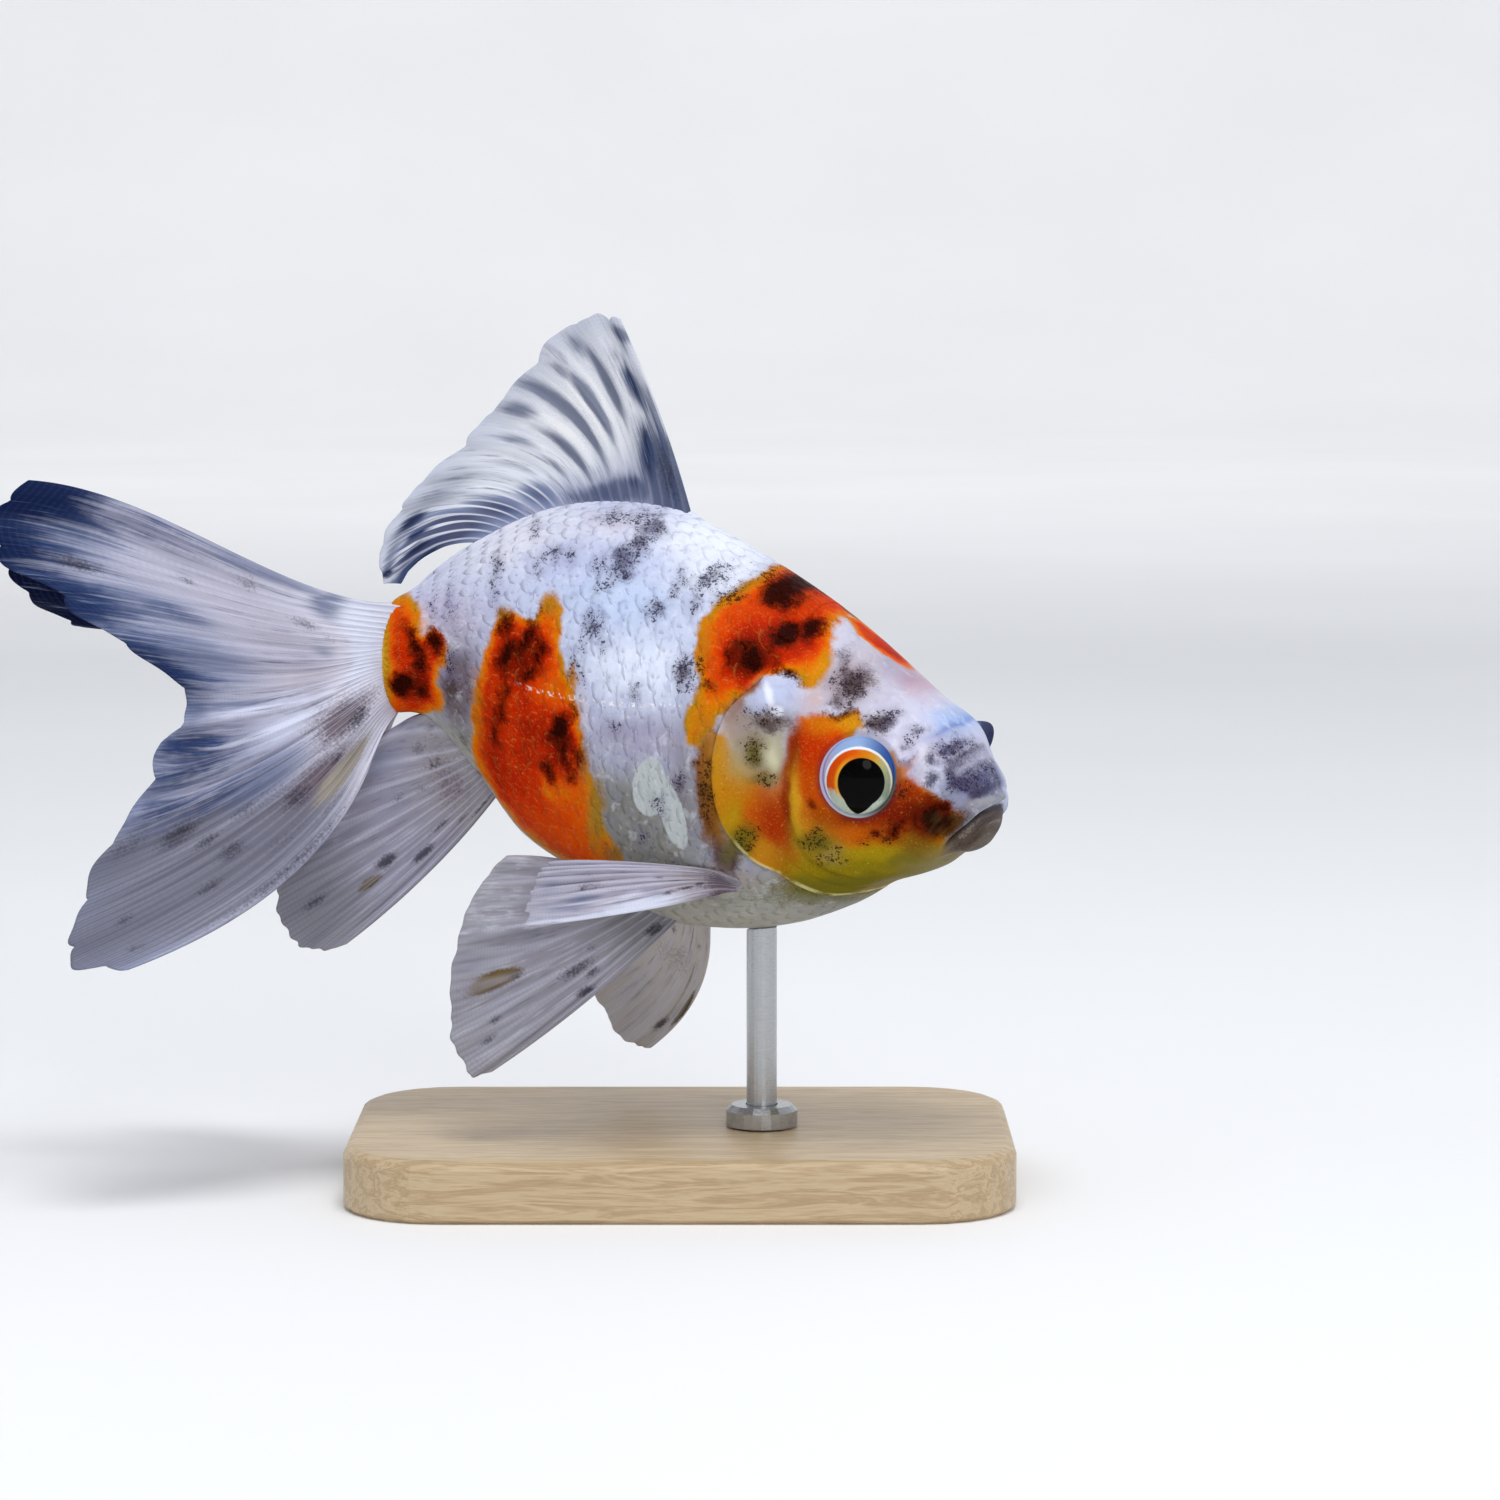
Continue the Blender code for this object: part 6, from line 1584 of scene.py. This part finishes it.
def build_eye(tag, side, material):
    """Domed eyeball; the pupil is a rounded drop with its point down."""
    ring = np.linspace(0, np.pi, EYE_RINGS + 1)[1:-1, None]
    spoke = np.linspace(0, 2 * np.pi, EYE_SPOKES, endpoint=False)
    flat = np.sin(ring)
    unit = np.broadcast_arrays(flat * np.cos(spoke), flat * np.sin(spoke), np.cos(ring))
    unit = np.stack(unit, -1)
    unit = np.concatenate((unit.reshape(-1, 3), ((0.0, 0.0, 1.0), (0.0, 0.0, -1.0))))
    ahead, out = eye_axes(side)
    points = eye_centre(side) + unit * (EYE_AHEAD, EYE_UPRIGHT, EYE_DEEP) @ np.array((ahead, (0, 0, 1), out))
    iris, _ = from_axis(unit, IRIS_AT)
    pupil, down = from_axis(unit, PUPIL_AT)
    point = np.maximum(1 - np.abs(down + PUPIL_LEAN) / PUPIL_POINT_WIDE, 0) ** 1.4
    inside = PUPIL_WIDE + PUPIL_POINT * point - pupil
    marks = {"pupil": inside, "iris": iris, "ahead": unit[:, 0], "rise": unit[:, 1]}
    faces = ring_faces(EYE_RINGS - 1, EYE_SPOKES)
    uv = 0.25 + 0.23 * unit[:, :2]
    uv[:, 0] += np.where(unit[:, 2] < 0, 0.5, 0.0)      # the hidden half beside the seen one
    mesh = new_mesh("eyeball_" + tag, points, faces, marks, uv[np.concatenate(faces)])
    place_piece("eyeball_" + tag, mesh, material, ("eye_" + tag,))


def eye_rim_tone(m, ahead, rise):
    """Blue above and in front, lilac behind, greenish below; ahead and rise are -1 to 1. The paler top and
    the darker front and lower front are partly painted light and shade.
    """
    blue = m.mix(m.step(ahead, -0.1, 0.8), "90aad6", "2f5496")
    low = m.mix(m.step(ahead, -0.1, 0.7), "aeb2bc", "4c5a54")
    tone = m.mix(m.step(rise, -0.35, 0.35), low, blue)
    return m.mix(m.step(ahead, -0.45, -0.85), tone, "b3abca")


def eye_material():
    """Black pupil in an orange and cream iris, glossy as under water."""
    m = Paint("eye_paint")
    ahead = m.mark("ahead")
    rise = m.mark("rise")
    inside = m.mark("pupil")
    fleck = m.noise(1.6, 3.0)
    turn = m.sum(0.0, (ahead, -1.0), (rise, 0.55), (fleck, 0.5))
    colour = m.ramp(m.sum(0.42, (turn, 0.42)), (0.0, "7f9086"), (0.20, "a9a878"), (0.32, "c89a3c"),
                    (0.44, "d07c14"), (0.62, "d65404"), (0.90, "c83402"))
    low = m.sum(rise, (ahead, 0.15), (fleck, 0.35))
    green = m.mix(m.step(m.noise(3.4, 3.0), -0.2, 0.25), "a8b8ac", "c4ccb8")
    colour = m.lay(colour, green, m.step(low, -0.30, -0.52))
    gold = m.times(m.step(inside, -9.0, -2.0), m.step(low, -0.75, -0.3))
    colour = m.lay(colour, "e8b430", m.times(gold, m.step(ahead, 0.1, -0.5)), 0.7)
    edge = m.sum(m.mark("iris"), (fleck, 2.0))
    colour = m.lay(colour, m.mix(m.step(ahead, 0.3, 0.8), "e4ecf2", "e0d6b8"), m.step(edge, 55.0, 57.5))
    # the outer ring's tone is partly painted light and shade: paler on top, darker in front and below
    colour = m.lay(colour, eye_rim_tone(m, ahead, rise), m.step(edge, 60.0, 62.5))
    colour = m.lay(colour, "010101", m.step(inside, -1.2, 0.6))
    return m.finish(colour, m.sum(0.07, (fleck, 0.03)), Specular_IOR_Level=0.06)


# --- stand -------------------------------------------------------------------------
def wood_material():
    m = Paint("pale_wood")
    grain = m.noise(1.0, 4.0, place=m.stretched(0.05, 0.6, 0.6), distortion=0.6)
    pores = m.noise(1.0, 3.0, place=m.stretched(0.25, 5.0, 5.0))
    rings = m.math("SINE", m.times(grain, 26.0))
    tone = m.sum(0.5, (pores, 0.5), (rings, 0.16))
    colour = m.ramp(tone, (0.15, "a58a66"), (0.45, "bfa580"), (0.75, "d0ba96"))
    colour = m.lay(colour, "8a6f4e", m.step(pores, 0.14, 0.3))
    return m.finish(colour, m.sum(0.42, (pores, 0.2)), pores, 0.05, Coat_Weight=0.12, Coat_Roughness=0.3)


def steel_material():
    m = Paint("brushed_steel")
    lines = m.noise(1.0, 3.0, 0.7, place=m.stretched(0.8, 0.8, 14.0))
    colour = m.ramp(m.sum(0.5, (lines, 1.0)), (0.2, "a4a6a8"), (0.8, "c3c4c6"))
    return m.finish(colour, m.sum(0.3, (lines, 0.25)), lines, 0.01, Metallic=1.0)


def finish_stand():
    wood = wood_material()
    steel = steel_material()
    for node, material in (("stand_base", wood), ("stand_collar", steel), ("stand_rod", steel)):
        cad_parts[node].material_slots[0].material = material


# --- stage, light and camera -----------------------------------------------------
VIEW_DISTANCE = 700.0
VIEW_AIM = (10.0, -4.0, 64.0)
VIEW_RISE = 6.0                 # degrees above level
VIEW_WIDTH = 216.0              # millimetres across the frame at the aim
SENSOR = 36.0
STAGE_RADIUS = 2.6              # metres, as are the other sizes of the stage and lights
STAGE_CURVE = 1.2
STAGE_WALL = 2.2
STAGE_STEPS = 12                # rings of the flat part, and of the curve
STAGE_SPOKES = 96
LIGHT_AIM = (0.0, 0.0, 0.07)
WALL_AIM = (0.0, 4.0, 1.3)


def build_stage():
    """Round floor that sweeps up into a wall all round, with no edge in view."""
    share = [k / STAGE_STEPS for k in range(1, STAGE_STEPS + 1)]
    bend = [math.pi / 2 * s for s in share]
    profile = [(STAGE_RADIUS * s, 0.0) for s in share]
    profile += [(STAGE_RADIUS + STAGE_CURVE * math.sin(a), STAGE_CURVE * (1 - math.cos(a))) for a in bend]
    profile.append((STAGE_RADIUS + STAGE_CURVE, STAGE_CURVE + STAGE_WALL))
    turns = [2 * math.pi * i / STAGE_SPOKES for i in range(STAGE_SPOKES)]
    points = [(0.0, 0.0, 0.0)] + [(r * math.cos(a), r * math.sin(a), z) for r, z in profile for a in turns]
    faces = []
    for i in range(STAGE_SPOKES):
        j = (i + 1) % STAGE_SPOKES
        faces.append((0, 1 + i, 1 + j))
        for a in range(1, 1 + (len(profile) - 1) * STAGE_SPOKES, STAGE_SPOKES):
            faces.append((a + i, a + STAGE_SPOKES + i, a + STAGE_SPOKES + j, a + j))
    mesh = bpy.data.meshes.new("stage")
    mesh.from_pydata(points, [], faces)
    mesh.shade_smooth()
    m = Paint("pale_floor")
    tone = m.sum(0.5, (m.noise(0.004, 2.0, 0.5), 1.0))
    mesh.materials.append(m.finish(m.ramp(tone, (0.3, "f4f4f5"), (0.7, "f8f8f9")), 0.85))
    floor = bpy.data.objects.new("stage", mesh)
    bpy.context.scene.collection.objects.link(floor)


def add_light(name, place, aim, size, power, colour=(1.0, 1.0, 1.0)):
    light = bpy.data.lights.new(name, "AREA")
    light.shape = "DISK"
    light.size = size
    light.energy = power
    light.color = colour
    obj = bpy.data.objects.new(name, light)
    obj.location = place
    obj.rotation_euler = (Vector(aim) - Vector(place)).to_track_quat("-Z", "Y").to_euler()
    bpy.context.scene.collection.objects.link(obj)


def light_studio():
    scene = bpy.context.scene
    scene.view_settings.view_transform = "Standard"
    world = bpy.data.worlds.new("studio")
    world.use_nodes = True
    back = world.node_tree.nodes["Background"]
    back.inputs["Color"].default_value = (0.93, 0.96, 1.0, 1.0)
    back.inputs["Strength"].default_value = 0.62
    scene.world = world
    add_light("top", (0.05, -0.25, 1.1), LIGHT_AIM, 0.5, 5.5, (0.96, 0.98, 1.0))
    add_light("front", (0.35, -1.1, 0.65), LIGHT_AIM, 0.5, 3.0, (1.0, 0.99, 0.97))
    add_light("wall", (0.0, 1.3, 1.9), WALL_AIM, 1.4, 22.0)


def place_camera():
    a = math.radians(VIEW_RISE)
    place = Vector(VIEW_AIM) + VIEW_DISTANCE * Vector((0.0, -math.cos(a), math.sin(a)))
    lens = bpy.data.cameras.new("camera")
    lens.sensor_width = SENSOR
    lens.lens = SENSOR * VIEW_DISTANCE / VIEW_WIDTH
    lens.clip_start = 0.01
    camera = bpy.data.objects.new("camera", lens)
    camera.location = place * MM
    camera.rotation_euler = (math.radians(90 - VIEW_RISE), 0.0, 0.0)
    bpy.context.scene.collection.objects.link(camera)
    bpy.context.scene.camera = camera


build_skin(skin_material("skin_paint", False))
build_scales(skin_material("scale_paint", True))
build_fins()
eye_paint = eye_material()
build_eye("R", 1, eye_paint)
build_eye("L", -1, eye_paint)
finish_stand()
build_stage()
light_studio()
place_camera()
